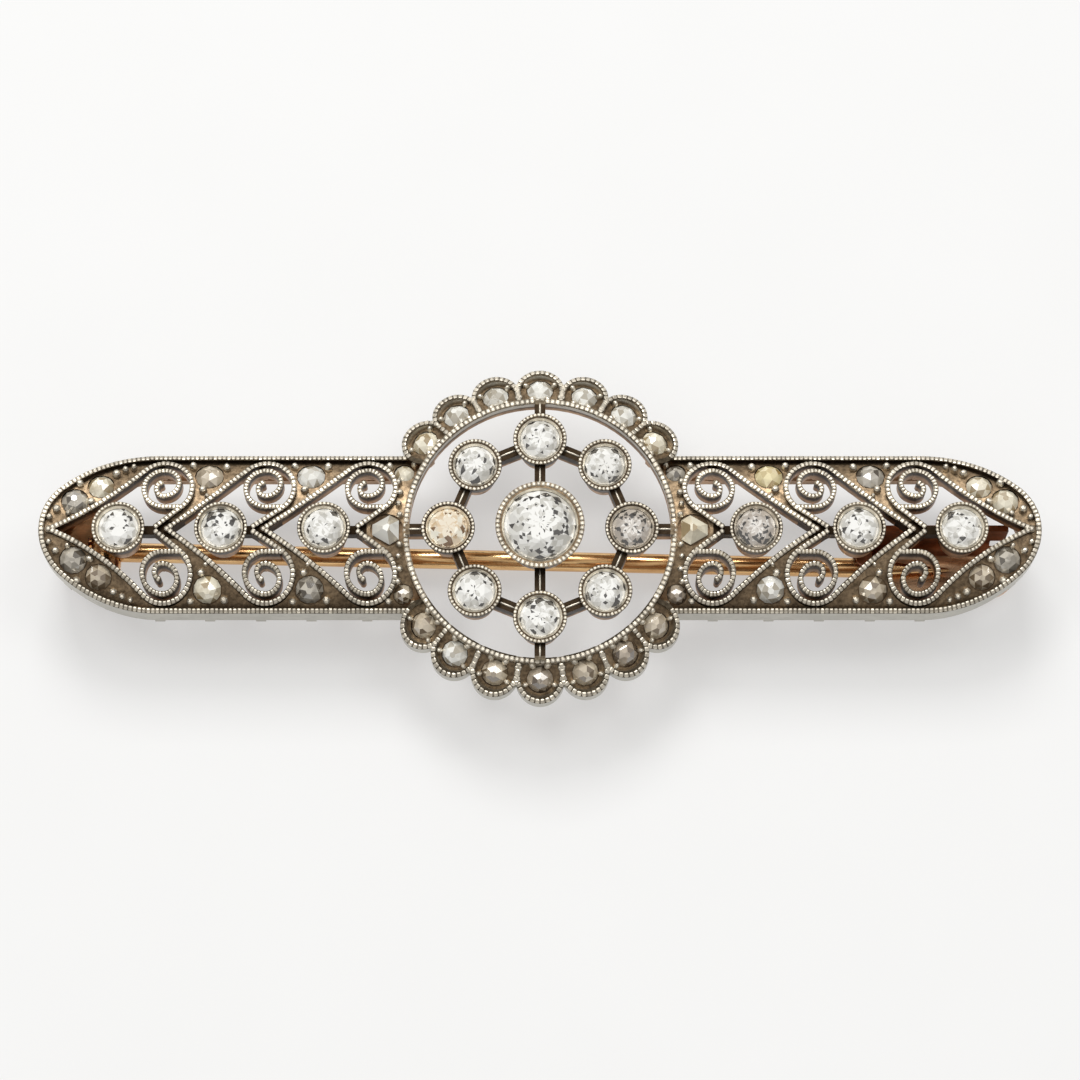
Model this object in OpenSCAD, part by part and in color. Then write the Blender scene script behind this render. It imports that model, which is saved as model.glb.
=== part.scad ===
// Openwork bar brooch with old-cut and rose-cut diamonds, lying on its back
// X runs along the bar, Y across it, and Z up from the surface it lies on, in millimetres

/* [Bar] */
// Length of the brooch from tip to tip
bar_length = 55.1; // [54.5:0.1:56]
// Width of the bar over its rims
bar_width = 9; // [8.9:0.05:9.2]
// Radius of the bar's camber across its width
camber_r = 8.7; // [8.3:0.1:10]
// Height of the middle line of the bar above the surface
crest_z = 6.05; // [5.9:0.05:6.3]
// Width of a milgrained line
line_w = 0.28; // [0.24:0.01:0.32]
// Depth of the pierced walls
wall_depth = 1.15; // [0.9:0.05:1.3]
// How far the plate between the lines lies below them
recess = 0.3; // [0.2:0.02:0.4]
// Thickness of the plate between the lines
plate_t = 0.6; // [0.5:0.05:0.8]

/* [Ring] */
// Radius of the ring's milgrained line
ring_r = 7.4; // [7.3:0.02:7.5]
// Height of the ring above the surface
ring_z = 5.7; // [5.6:0.05:5.8]
// Radius of the circle on which the scallops' stones lie
halo_r = 8.38; // [8.38:0.02:8.5]
// Radius of the scalloped edge
scallop_edge_r = 9.53; // [9.45:0.01:9.6]
// Height of the scalloped edge above the surface
edge_z = 4.6; // [4.5:0.05:4.7]

/* [Diamonds] */
// Girdle diameter of the centre diamond
centre_d = 4.1; // [4:0.05:4.2]
// Girdle diameter of the fourteen smaller old-cut diamonds
brilliant_d = 2.35; // [2.25:0.05:2.4]
// Diameter of a rose-cut diamond in the scalloped border
rose_d = 1.45; // [1.4:0.05:1.5]

/* [Pin] */
// Diameter of the pin stem
stem_d = 1.1; // [1:0.05:1.15]
// Height of the hinge axis above the surface
pivot_z = 1; // [1:0.05:1.05]
// Radial play between the rivet and the stem's knuckle
pin_play = 0.04; // [0.03:0.01:0.06]

/* [Hidden] */
$fn = 72;

// Colours of the two metals and the stones
SILVER = "#a8a294";
GOLD = "#c58a45";
DIAMOND = "#e9eef0";
ROSE = "#c9bba2";

// Plan of the bar's end: a nose arc between two long shoulder arcs
half_l = bar_length / 2;
half_w = bar_width / 2;
nose_r = 3.3;
nose_x = half_l - nose_r;
shoulder_x = 21.1;
shoulder_r = (pow(nose_x - shoulder_x, 2) + half_w * half_w - nose_r * nose_r) / (2 * (half_w - nose_r));
shoulder_y = half_w - shoulder_r;
shoulder_end = atan2(-shoulder_y, nose_x - shoulder_x);
// The arms stop on the ring, inside the thickness of its wall
arm_start = 5.5;

// Each heart: the X of its pointed end, of its two lobes, of its collet and of its cleft, and the radius of
// its sides
APEX = 0;
LOBE = 1;
COLLET = 2;
CLEFT = 3;
SIDE_R = 4;
HEARTS = [
    [27, 20.72, 23.15, 21.1, 16],
    [20.5, 15.1, 17.52, 15.76, 36],
    [15.2, 9.5, 11.87, 10, 36],
];
side_steps = 6;
lobe_y = 2.45;
lobe_r = 1.54;
// Distance from the middle line to the end of each cleft line
cleft_y = 0.15;
// Volute inside a lobe: three arcs, each smaller than the last
volute_y = 2.4;
volute_r = [1.12, 0.8, 0.44];
volute_end = 60;
curl_r = 0.17;
// Round post at a heart's pointed end
apex_post_r = line_w * 0.75;
// Link from a collet to its heart's cleft: width, length, reach past the collet and drop of its top
link_w = 0.5;
link_l = 1.05;
link_reach = 0.75;
link_drop = 0.35;

// Rim and pierced side wall of the bar
rim_w = 0.28;
rim_depth = 1.25;
rail_inset = 0.4;
rail_w = 0.4;
rail_z = [1.87, 2.6];
rail_start = 6.8;
post_w = 0.55;
// How far a post stands proud of the rail's middle line, and starts above the rail's underside
post_shift = 0.1;
post_foot = 0.2;
POSTS_X = [6.95, 9.6, 12.7, 15.5, 18.33, 21.1];
// Posts round the nose, as shares of the angle at which the shoulder ends
NOSE_POSTS = [0.45, 1];

// Collets: a tapered cup, its rim above the stone's girdle
bar_collet_r = 1.46;
bar_collet_top = 6.3;
ring_collet_r = 1.48;
ring_collet_top = 6.3;
ring_collet_circle = 5.05;
centre_collet_r = 2.45;
centre_collet_top = 6.9;
collet_taper = 0.74;
bar_collet_depth = 2.5;
ring_collet_depth = 2.3;
centre_collet_depth = 3;
bezel_h = 0.26;
stone_gap = 0.05;
// Radius of the open back and height of the bearing, as shares of the stone's diameter
open_back = 0.27;
bearing_rise = 0.24;
// How far a stone is lifted off its seat, and the turn from one stone to the next
stone_lift = 0.02;
ring_stone_turn = 11;
bar_stone_turn = 17;
ring_stones = 8;

// Bars between the collets
tie_w = 0.6;
tie_top = 5.95;
tie_depth = 1.1;

// Ring wall and sloping scalloped border
ring_w = 0.34;
ring_wall_bottom = 4.7;
scallop_r = 1.35;
scallop_line = 0.26;
scallop_circle = scallop_edge_r - scallop_r;
halo_slope = atan2(ring_z - edge_z, scallop_edge_r - ring_r);
halo_plate_t = 0.8;
halo_recess = 0.28;
halo_over = 0.5;
// Hollow of a scallop: radius of its round end, and half widths of its legs at the ring and at that end
cup_r = scallop_r - scallop_line;
cup_legs = [0.94, 1.05];
cup_reach = 0.2;
halo_stones = 14;
// Bearings of the seven stones above the bar, and the same below it
HALO_BEARINGS = [-50.7, -34.5, -17.5, 0, 17.5, 34.5, 50.7];

// Rose-cut stones: height over diameter, how deep they sit, and play round them
rose_rise = 0.42;
rose_seat = 0.2;
rose_gap = 0.04;
rose_turn = 13;
// Rows of a round rose-cut stone: corners, share of the radius and share of the height
ROSE_ROWS = [
    [6, 0.24, 1],
    [6, 0.66, 0.74],
    [12, 1, 0.22],
    [12, 0.96, 0],
];
// Rows of a three-cornered one: share of the radius and share of the height
DROP_ROWS = [
    [0.26, 1],
    [0.97, 0.25],
    [0.93, 0],
];
drop_blunt = 20;
// Small rose-cut stones of one arm: X, Y and diameter
ROSE_D = 2;
WING_ROSES = [
    [25.64, 1.73, 1.48],
    [24.25, 2.68, 1.42],
    [18.28, 3.35, 1.55],
    [12.66, 3.35, 1.55],
    [7.5, 3.6, 1.1],
];
// Turn of such a stone: on either side of the middle line, and for each millimetre along the bar
wing_side_turn = 20;
wing_run_turn = 7;
drop_rose = [8.42, 0, 1.76];

// Pin hinge, stem and catch
pivot_x = -24.5;
knuckle_r = pivot_z;
stem_knuckle_r = 0.93;
knuckle_ends = [0.6, 1.6];
knuckle_gap = 0.04;
rivet_r = 0.3;
rivet_head_r = 0.48;
rivet_head_h = 0.22;
rivet_fit = 0.02;
hinge_plate_z = [1.5, 1.85];
hinge_plate_end = -23.75;
rib_w = 0.22;
rib_gap = 0.17;
rib_depth = 0.1;
stem_slant = -1.25;
stem_tip_x = 22.9;
stem_taper = 5;
stem_root = 0.4;
stem_tip_d = 0.16;
// Slot in the hinge plate for the stem's knuckle
slot_half_l = 0.78;
catch_x = [17.6, 25.2];
sheet_t = 0.35;
catch_bend_r = 1.75;
catch_bend_y = -0.95;
catch_leg_top = 3.78;
catch_leg_end = 26;
catch_lip_y = -2.45;
catch_lip_r = 0.24;
guard_x = 18.5;
guard_z = [2.3, 2.62];
guard_y = -0.7;
sheet_lap = 0.1;

// Height of upright cutters, how far a cutter runs past a face, and depth of a stone's cutter
tall = 12;
clear = 1;
seat_cut = 2;
// Walls end this far short inside a round joint, which is this much thicker than they are
end_trim = 0.03;
joint_margin = 0.015;
// Overlap of the blocks that make the arm's plan
block_lap = 0.1;

// Point at distance r and bearing a
function polar(r, a) = [r * cos(a), r * sin(a)];
// Points mirrored across the middle line, in reverse order
function flip(points) = [for (i = [len(points) - 1:-1:0]) [points[i].x, -points[i].y]];
function bearing(p, q) = atan2(q.y - p.y, q.x - p.x);

// Plan of one arm's edge, moved inwards by inset
function arm_edge(inset) = [
    [arm_start, half_w - inset],
    for (a = [90:-6:shoulder_end]) [shoulder_x, shoulder_y] + polar(shoulder_r - inset, a),
    for (a = [shoulder_end:-8:0]) [nose_x, 0] + polar(nose_r - inset, a),
];
function arm_plan(inset) = concat(arm_edge(inset), [[half_l - inset, 0]], flip(arm_edge(inset)));

// One half of a heart along the middle of its line
function lobe_centre(h) = [h[LOBE], lobe_y];
function apex(h) = [h[APEX], 0];
function cleft_point(h) = [h[CLEFT], cleft_y];
// Centre of the long arc that runs from a lobe, where it is tangent, to the pointed end
function side_centre(h) =
    let (
        r = h[SIDE_R],
        d = norm(lobe_centre(h) - apex(h)),
        turn = acos((r * r + d * d - pow(r + lobe_r, 2)) / (2 * r * d))
    )
    apex(h) + polar(r, bearing(apex(h), lobe_centre(h)) - turn);
// Bearings at which a lobe starts, where it leaves the side, and ends, where it is tangent to the cleft line
function lobe_start(h) = bearing(lobe_centre(h), side_centre(h));
function lobe_end(h) =
    bearing(cleft_point(h), lobe_centre(h)) + asin(lobe_r / norm(lobe_centre(h) - cleft_point(h))) + 90;
function side_start(h) = lobe_start(h) + 180;
function side_end(h) = bearing(side_centre(h), apex(h)) + 360;
function half_heart(h) = [
    for (i = [side_steps:-1:1])
        side_centre(h) + polar(h[SIDE_R], side_start(h) + (side_end(h) - side_start(h)) * i / side_steps),
    for (a = [lobe_start(h):12:lobe_end(h)]) lobe_centre(h) + polar(lobe_r, a),
    cleft_point(h),
];
function heart_plan(h) = concat(half_heart(h), flip(half_heart(h)));

// Upright wall along a straight line or an arc, w thick on its middle line, a little short of its ends
module wall_line(p, q, w) {
    translate([p.x, p.y, 0])
        rotate([0, 0, atan2(q.y - p.y, q.x - p.x)])
            translate([end_trim, -w / 2, 0])
                cube([norm(q - p) - 2 * end_trim, w, tall]);
}

module wall_arc(c, r, from, to, w) {
    trim = end_trim / r * 180 / PI;
    translate([c.x, c.y, 0])
        rotate([0, 0, from + trim])
            rotate_extrude(angle = to - from - 2 * trim, start = 0)
                translate([r - w / 2, 0])
                    square([w, tall]);
}

// Round post that joins the walls that end in it
module wall_joint(p, w) {
    translate(p) cylinder(r = w / 2 + joint_margin, h = tall);
}

// Curved slab that follows the camber, sink below its surface and t thick
module camber_slab(sink, t) {
    translate([0, 0, crest_z - camber_r])
        rotate([0, 90, 0])
            difference() {
                cylinder(r = camber_r - sink, h = half_l + clear);
                translate([0, 0, -clear])
                    cylinder(r = camber_r - sink - t, h = half_l + 3 * clear);
            }
}

module both_sides() {
    children();
    mirror([0, 1, 0]) children();
}

module heart_lines(h) {
    outer_joint = lobe_centre(h) + polar(lobe_r, lobe_start(h));
    inner_joint = lobe_centre(h) + polar(lobe_r, lobe_end(h));
    wall_arc(side_centre(h), h[SIDE_R], side_start(h), side_end(h), line_w);
    wall_arc(lobe_centre(h), lobe_r, lobe_start(h), lobe_end(h), line_w);
    wall_line(cleft_point(h), inner_joint, line_w);
    for (p = [outer_joint, inner_joint, cleft_point(h)]) wall_joint(p, line_w);
}

module volute(h) {
    x = h[LOBE];
    first = [x, volute_y];
    second = first + [0, volute_r[0] - volute_r[1]];
    third = second - [0, volute_r[1] - volute_r[2]];
    root = lobe_centre(h) + polar(lobe_r, lobe_end(h));
    wall_line([root.x, volute_y - volute_r[0]], first - [0, volute_r[0]], line_w);
    wall_arc(first, volute_r[0], -90, 90, line_w);
    wall_arc(second, volute_r[1], 90, 270, line_w);
    wall_arc(third, volute_r[2], -90, volute_end, line_w);
    for (p = [first - [0, volute_r[0]], first + [0, volute_r[0]], second - [0, volute_r[1]]])
        wall_joint(p, line_w);
    translate(third + polar(volute_r[2], volute_end))
        cylinder(r = curl_r, h = tall);
}

// Solid with the plan of one arm, moved inwards by inset
module arm_block(inset, height) {
    shoulder_stop = nose_x + nose_r * cos(shoulder_end) - block_lap;
    translate([arm_start, inset - half_w, 0])
        cube([shoulder_x + block_lap - arm_start, bar_width - 2 * inset, height]);
    intersection() {
        translate([shoulder_x, shoulder_y, 0]) cylinder(r = shoulder_r - inset, h = height);
        translate([shoulder_x, -shoulder_y, 0]) cylinder(r = shoulder_r - inset, h = height);
        translate([shoulder_x - block_lap, -half_w, 0])
            cube([shoulder_stop - shoulder_x + block_lap, bar_width, height]);
    }
    translate([nose_x, 0, 0]) cylinder(r = nose_r - inset, h = height);
}

// Wall that follows the arm's edge
module arm_rim(inset, w) {
    difference() {
        arm_block(inset, tall);
        translate([0, 0, -clear]) arm_block(inset + w, tall + 2 * clear);
    }
}

// Lines, volutes and rim of the right arm, cut to the camber
module arm_lines() {
    intersection() {
        camber_slab(0, wall_depth);
        union() {
            both_sides()
                for (h = HEARTS) {
                    heart_lines(h);
                    volute(h);
                }
            for (h = HEARTS)
                translate(apex(h)) cylinder(r = apex_post_r, h = tall);
        }
    }
    intersection() {
        camber_slab(0, rim_depth);
        arm_rim(0, rim_w);
    }
}

// Plate between the hearts and the rim, with the hearts pierced through it
module arm_plate() {
    intersection() {
        camber_slab(recess, plate_t);
        linear_extrude(tall)
            difference() {
                polygon(arm_plan(rim_w / 2));
                for (h = HEARTS) polygon(heart_plan(h));
            }
    }
}

// Inset rail at the back of the bar and the posts that carry it
module arm_gallery() {
    post_in = rail_inset + rail_w / 2 + post_w / 2 - post_shift;
    intersection() {
        translate([rail_start, -half_w, rail_z[0]])
            cube([half_l, bar_width, rail_z[1] - rail_z[0]]);
        arm_rim(rail_inset, rail_w);
    }
    intersection() {
        translate([0, 0, crest_z - camber_r])
            rotate([0, 90, 0])
                cylinder(r = camber_r - recess - plate_t / 2, h = half_l + clear);
        translate([0, 0, rail_z[0] + post_foot])
            both_sides() {
                for (x = POSTS_X)
                    translate([x - post_w / 2, half_w - post_in, 0])
                        cube([post_w, post_w, tall]);
                for (share = NOSE_POSTS)
                    translate([nose_x, 0, 0])
                        rotate([0, 0, share * shoulder_end])
                            translate([nose_r - post_in, -post_w / 2, 0])
                                cube([post_w, post_w, tall]);
            }
    }
}

module collet(r, depth) {
    translate([0, 0, -depth])
        cylinder(r1 = r * collet_taper, r2 = r, h = depth);
}

// Space for a brilliant below a collet's rim: bezel, bearing and open back
module stone_space(d, depth) {
    seat_r = d / 2 + stone_gap;
    open_r = d * open_back;
    bearing_h = d * bearing_rise;
    translate([0, 0, -bezel_h]) cylinder(r = seat_r, h = bezel_h + clear);
    translate([0, 0, -bezel_h - bearing_h]) cylinder(r1 = open_r, r2 = seat_r, h = bearing_h);
    translate([0, 0, -depth - clear])
        cylinder(r = open_r, h = depth + clear - bezel_h - bearing_h / 2);
}

// Puts its children on the camber at x, y, with their Z along its normal
module on_camber(x, y, sink) {
    translate([x, 0, crest_z - camber_r])
        rotate([-asin(y / camber_r), 0, 0])
            translate([0, 0, camber_r - sink])
                children();
}

// Puts its children on the sloping border at a bearing from the middle of the upper side
module on_halo(bearing, sink) {
    rotate([0, 0, -bearing])
        translate([0, halo_r, ring_z - (halo_r - ring_r) * tan(halo_slope)])
            rotate([-halo_slope, 0, 0])
                translate([0, 0, -sink])
                    children();
}

function halo_bearing(i) =
    i < halo_stones / 2 ? HALO_BEARINGS[i] : HALO_BEARINGS[i - halo_stones / 2] + 180;
function ring_stone_place(i) = polar(ring_collet_circle, 90 - i * 360 / ring_stones);

module arm() {
    difference() {
        union() {
            arm_lines();
            arm_plate();
            arm_gallery();
        }
        cylinder(r = ring_r, h = tall);
        for (s = WING_ROSES)
            for (side = [-1, 1])
                on_camber(s.x, side * s.y, recess + rose_seat)
                    cylinder(d = s[ROSE_D] + 2 * rose_gap, h = seat_cut);
        on_camber(drop_rose.x, drop_rose.y, recess + rose_seat)
            cylinder(d = drop_rose[ROSE_D] + 2 * rose_gap, h = seat_cut);
    }
    difference() {
        union()
            for (h = HEARTS) {
                translate([h[COLLET], 0, bar_collet_top])
                    collet(bar_collet_r, bar_collet_depth);
                translate([h[COLLET] - bar_collet_r - link_reach, -link_w / 2, crest_z - wall_depth])
                    cube([link_l, link_w, wall_depth - link_drop]);
            }
        for (h = HEARTS)
            translate([h[COLLET], 0, bar_collet_top])
                stone_space(brilliant_d, bar_collet_depth);
    }
}

// Cutter for the hollow of one scallop: a round end and two legs that run down to the ring
module cup() {
    translate([0, scallop_circle - halo_r, 0]) cylinder(r = cup_r, h = seat_cut);
    linear_extrude(seat_cut)
        polygon([
            [-cup_legs[0], ring_r - halo_r],
            [cup_legs[0], ring_r - halo_r],
            [cup_legs[1], scallop_circle + cup_reach - halo_r],
            [-cup_legs[1], scallop_circle + cup_reach - halo_r],
        ]);
}

// Sloping border with its scallops, hollows and stone seats
module halo() {
    over_z = edge_z - halo_over * tan(halo_slope);
    difference() {
        intersection() {
            rotate_extrude()
                polygon([
                    [ring_r - ring_w / 2, ring_z + ring_w / 2 * tan(halo_slope)],
                    [scallop_edge_r + halo_over, over_z],
                    [scallop_edge_r + halo_over, over_z - halo_plate_t],
                    [ring_r - ring_w / 2, ring_z - halo_plate_t],
                ]);
            union()
                for (i = [0:halo_stones - 1])
                    rotate([0, 0, -halo_bearing(i)])
                        translate([0, scallop_circle, 0])
                            cylinder(r = scallop_r, h = tall);
        }
        for (i = [0:halo_stones - 1])
            intersection() {
                on_halo(halo_bearing(i), halo_recess) cup();
                difference() {
                    cylinder(r = scallop_edge_r + clear, h = tall);
                    translate([0, 0, -clear]) cylinder(r = ring_r + ring_w / 2, h = tall + 2 * clear);
                }
            }
        for (i = [0:halo_stones - 1])
            on_halo(halo_bearing(i), halo_recess + rose_seat)
                cylinder(d = rose_d + 2 * rose_gap, h = seat_cut);
    }
}

module ring_wall() {
    rotate_extrude()
        translate([ring_r - ring_w / 2, ring_wall_bottom])
            square([ring_w, ring_z - ring_wall_bottom]);
}

// Bar between two points, at the height of the ties
module tie(p, q) {
    translate([p.x, p.y, tie_top - tie_depth])
        rotate([0, 0, atan2(q.y - p.y, q.x - p.x)])
            translate([0, -tie_w / 2, 0])
                cube([norm(q - p), tie_w, tie_depth]);
}

// Nine collets inside the ring and the ties that join them
module ring_collets() {
    difference() {
        union() {
            translate([0, 0, centre_collet_top]) collet(centre_collet_r, centre_collet_depth);
            for (i = [0:ring_stones - 1]) {
                p = ring_stone_place(i);
                translate([p.x, p.y, ring_collet_top]) collet(ring_collet_r, ring_collet_depth);
                tie(p, ring_stone_place(i + 1));
            }
            for (i = [0, 2, 4, 6])
                tie(ring_stone_place(i), ring_stone_place(i) * ring_r / ring_collet_circle);
            for (i = [0, 4]) tie([0, 0], ring_stone_place(i));
        }
        translate([0, 0, centre_collet_top]) stone_space(centre_d, centre_collet_depth);
        for (i = [0:ring_stones - 1]) {
            p = ring_stone_place(i);
            translate([p.x, p.y, ring_collet_top]) stone_space(brilliant_d, ring_collet_depth);
        }
    }
}

module openwork_mount() {
    color(SILVER) {
        arm();
        mirror([1, 0, 0]) arm();
        ring_wall();
        halo();
        ring_collets();
    }
}

// Rows of corners of a round stone: radius and height of each row, and the turn of its first corner
function ring_points(n, r, z, turn) = [
    for (a = [0:n - 1]) concat(polar(r, turn + a * 360 / n), z)
];

// Old-cut brilliant with its girdle at z = 0: table, stars, kites, girdle facets, pavilion and culet
module brilliant(d) {
    r = d / 2;
    table_r = r * 0.5;
    crown_h = d * 0.18;
    star_r = r * 0.8;
    star_z = crown_h - (star_r * cos(22.5) - table_r) * crown_h / (r - table_r);
    girdle_h = d * 0.02;
    pavilion_h = d * 0.42;
    lower_r = r * 0.5;
    lower_z = -girdle_h - pavilion_h * (1 - lower_r * cos(22.5) / r);
    culet_r = r * 0.09;
    points = concat(
        ring_points(8, table_r, crown_h, 0),
        ring_points(8, star_r, star_z, 22.5),
        ring_points(16, r, 0, 0),
        ring_points(16, r, -girdle_h, 0),
        ring_points(8, lower_r, lower_z, 22.5),
        ring_points(8, culet_r, -girdle_h - pavilion_h * (1 - culet_r / r), 0)
    );
    faces = concat(
        [[for (i = [7:-1:0]) i]],
        [for (i = [0:7]) [i, (i + 1) % 8, 8 + i]],
        [for (i = [0:7]) [i, 8 + i, 16 + 2 * i]],
        [for (i = [0:7]) [(i + 1) % 8, 16 + (2 * i + 2) % 16, 8 + i]],
        [for (i = [0:7]) [8 + i, 16 + 2 * i + 1, 16 + 2 * i]],
        [for (i = [0:7]) [8 + i, 16 + (2 * i + 2) % 16, 16 + 2 * i + 1]],
        [for (i = [0:15]) [16 + i, 16 + (i + 1) % 16, 32 + (i + 1) % 16, 32 + i]],
        [for (i = [0:7]) [48 + i, 32 + 2 * i, 32 + 2 * i + 1]],
        [for (i = [0:7]) [48 + i, 32 + 2 * i + 1, 32 + (2 * i + 2) % 16]],
        [for (i = [0:7]) [48 + i, 56 + i, 32 + 2 * i]],
        [for (i = [0:7]) [48 + i, 32 + (2 * i + 2) % 16, 56 + (i + 1) % 8]],
        [for (i = [0:7]) [48 + i, 56 + (i + 1) % 8, 56 + i]],
        [[for (i = [0:7]) 56 + i]]
    );
    polyhedron(points, faces);
}

// Rose-cut stone with its flat back at z = 0: a small table, six upper facets and eighteen lower ones
module rose(d, turn) {
    r = d / 2;
    h = d * rose_rise;
    points = [for (row = ROSE_ROWS) each ring_points(row[0], r * row[1], h * row[2], turn)];
    faces = concat(
        [[for (i = [5:-1:0]) i]],
        [for (i = [0:5]) [i, (i + 1) % 6, 6 + (i + 1) % 6, 6 + i]],
        [for (i = [0:5]) [6 + i, 12 + 2 * i, 12 + (2 * i + 11) % 12]],
        [for (i = [0:5]) [6 + i, 12 + 2 * i + 1, 12 + 2 * i]],
        [for (i = [0:5]) [6 + i, 6 + (i + 1) % 6, 12 + 2 * i + 1]],
        [for (i = [0:11]) [12 + i, 12 + (i + 1) % 12, 24 + (i + 1) % 12, 24 + i]],
        [[for (i = [0:11]) 24 + i]]
    );
    polyhedron(points, faces);
}

// Three-cornered rose-cut stone with blunt corners, its point along +X
module drop_rose_stone(d) {
    r = d / 2;
    h = d * rose_rise;
    points = [
        for (row = DROP_ROWS)
            for (corner = [0:2])
                for (side = [-1, 1])
                    concat(polar(r * row[0], corner * 120 + side * drop_blunt), h * row[1])
    ];
    faces = concat(
        [[for (i = [5:-1:0]) i]],
        [for (i = [0:5]) [i, (i + 1) % 6, 6 + i]],
        [for (i = [0:5]) [(i + 1) % 6, 6 + (i + 1) % 6, 6 + i]],
        [for (i = [0:5]) [6 + i, 6 + (i + 1) % 6, 12 + (i + 1) % 6, 12 + i]],
        [[for (i = [0:5]) 12 + i]]
    );
    polyhedron(points, faces);
}

module center_diamond() {
    color(DIAMOND)
        translate([0, 0, centre_collet_top - bezel_h + stone_lift]) brilliant(centre_d);
}

module ring_diamond(i) {
    p = ring_stone_place(i - 1);
    color(DIAMOND)
        translate([p.x, p.y, ring_collet_top - bezel_h + stone_lift])
            rotate([0, 0, ring_stone_turn * i]) brilliant(brilliant_d);
}

// Bar diamonds count from the left tip to the right tip
module bar_diamond(i) {
    x = i < 4 ? -HEARTS[i - 1][COLLET] : HEARTS[6 - i][COLLET];
    color(DIAMOND)
        translate([x, 0, bar_collet_top - bezel_h + stone_lift])
            rotate([0, 0, bar_stone_turn * i]) brilliant(brilliant_d);
}

module halo_rose(i) {
    color(ROSE)
        on_halo(halo_bearing(i - 1), halo_recess + rose_seat - stone_lift)
            rose(rose_d, rose_turn * i);
}

module wing_roses() {
    color(ROSE)
        for (s = WING_ROSES)
            for (side = [-1, 1])
                on_camber(s.x, side * s.y, recess + rose_seat - stone_lift)
                    rose(s[ROSE_D], side * wing_side_turn + s.x * wing_run_turn);
}

module drop_rose_right() {
    color(ROSE)
        on_camber(drop_rose.x, drop_rose.y, recess + rose_seat - stone_lift)
            drop_rose_stone(drop_rose[ROSE_D]);
}

// Row of ribs round the Y axis, from y = 0 outwards
module ribbed_knuckle(r, length) {
    rotate([-90, 0, 0]) {
        cylinder(r = r - rib_depth, h = length);
        for (y = [0:rib_w + rib_gap:length - rib_w])
            translate([0, 0, y]) cylinder(r = r, h = rib_w);
    }
}

// Gold plate across the left tip, with the fixed knuckles under it
module hinge_block() {
    knuckle_l = knuckle_ends[1] - knuckle_ends[0];
    neck_w = 2 * (knuckle_r - rib_depth);
    neck_h = hinge_plate_z[0] - pivot_z + sheet_lap;
    color(GOLD) {
        intersection() {
            translate([0, 0, hinge_plate_z[0]])
                linear_extrude(hinge_plate_z[1] - hinge_plate_z[0])
                    mirror([1, 0, 0]) polygon(arm_plan(rail_inset));
            translate([-half_l, -half_w, 0]) cube([half_l + hinge_plate_end, bar_width, tall]);
            difference() {
                translate([-half_l, -half_w, 0]) cube([half_l, bar_width, tall]);
                translate([pivot_x - slot_half_l, -knuckle_ends[0], 0])
                    cube([tall, 2 * knuckle_ends[0], tall]);
            }
        }
        both_sides()
            difference() {
                translate([pivot_x, knuckle_ends[0], pivot_z]) {
                    ribbed_knuckle(knuckle_r, knuckle_l);
                    translate([-neck_w / 2, 0, 0]) cube([neck_w, knuckle_l, neck_h]);
                }
                translate([pivot_x, 0, pivot_z])
                    rotate([-90, 0, 0]) cylinder(r = rivet_r + rivet_fit, h = tall);
            }
    }
}

module hinge_rivet() {
    length = 2 * knuckle_ends[1] + 2 * rivet_fit;
    color(GOLD)
        translate([pivot_x, 0, pivot_z])
            rotate([-90, 0, 0]) {
                translate([0, 0, -length / 2 - rivet_head_h / 2])
                    cylinder(r = rivet_r, h = length + rivet_head_h);
                for (side = [-1, 1])
                    translate([0, 0, side * (length + rivet_head_h) / 2 - rivet_head_h / 2])
                        cylinder(r = rivet_head_r, h = rivet_head_h);
            }
}

// Round stem with its knuckle, closed in the catch
module pin_stem() {
    knuckle_w = 2 * (knuckle_ends[0] - knuckle_gap);
    run = (stem_tip_x - pivot_x) / cos(stem_slant);
    color(GOLD)
        translate([pivot_x, 0, pivot_z])
            difference() {
                union() {
                    translate([0, -knuckle_w / 2, 0]) ribbed_knuckle(stem_knuckle_r, knuckle_w);
                    rotate([0, 0, stem_slant])
                        rotate([0, 90, 0]) {
                            translate([0, 0, stem_root])
                                cylinder(d = stem_d, h = run - stem_taper - stem_root);
                            translate([0, 0, run - stem_taper])
                                cylinder(d1 = stem_d, d2 = stem_tip_d, h = stem_taper);
                        }
                }
                rotate([90, 0, 0]) cylinder(r = rivet_r + pin_play, h = tall, center = true);
            }
}

// Sheet hook: a leg under the bar's collets, a bend below the stem and a rolled lip
module catch() {
    inner_r = catch_bend_r - sheet_t;
    length = catch_x[1] - catch_x[0];
    leg_y = catch_bend_y + inner_r;
    end_r = catch_bend_y - catch_lip_y;
    color(GOLD) {
        intersection() {
            translate([catch_x[0], catch_bend_y, catch_bend_r])
                rotate([0, 90, 0])
                    difference() {
                        cylinder(r = catch_bend_r, h = length);
                        translate([0, 0, -clear]) cylinder(r = inner_r, h = length + 2 * clear);
                    }
            translate([catch_x[0], catch_bend_y, 0]) cube([length, catch_bend_r, catch_bend_r]);
        }
        translate([catch_x[0], leg_y, catch_bend_r])
            cube([catch_leg_end - catch_x[0], sheet_t, catch_leg_top - catch_bend_r]);
        translate([catch_x[0], catch_lip_y, 0]) cube([length, end_r, sheet_t]);
        translate([catch_x[1], catch_bend_y, 0]) cylinder(r = end_r, h = sheet_t);
        translate([catch_x[0], catch_lip_y, catch_lip_r])
            rotate([0, 90, 0]) cylinder(r = catch_lip_r, h = length);
        translate([catch_x[0], guard_y, guard_z[0]])
            cube([guard_x - catch_x[0], leg_y - guard_y + sheet_lap, guard_z[1] - guard_z[0]]);
        translate([(catch_x[0] + guard_x) / 2, guard_y, guard_z[0]])
            cylinder(d = guard_x - catch_x[0], h = guard_z[1] - guard_z[0]);
    }
}

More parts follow.
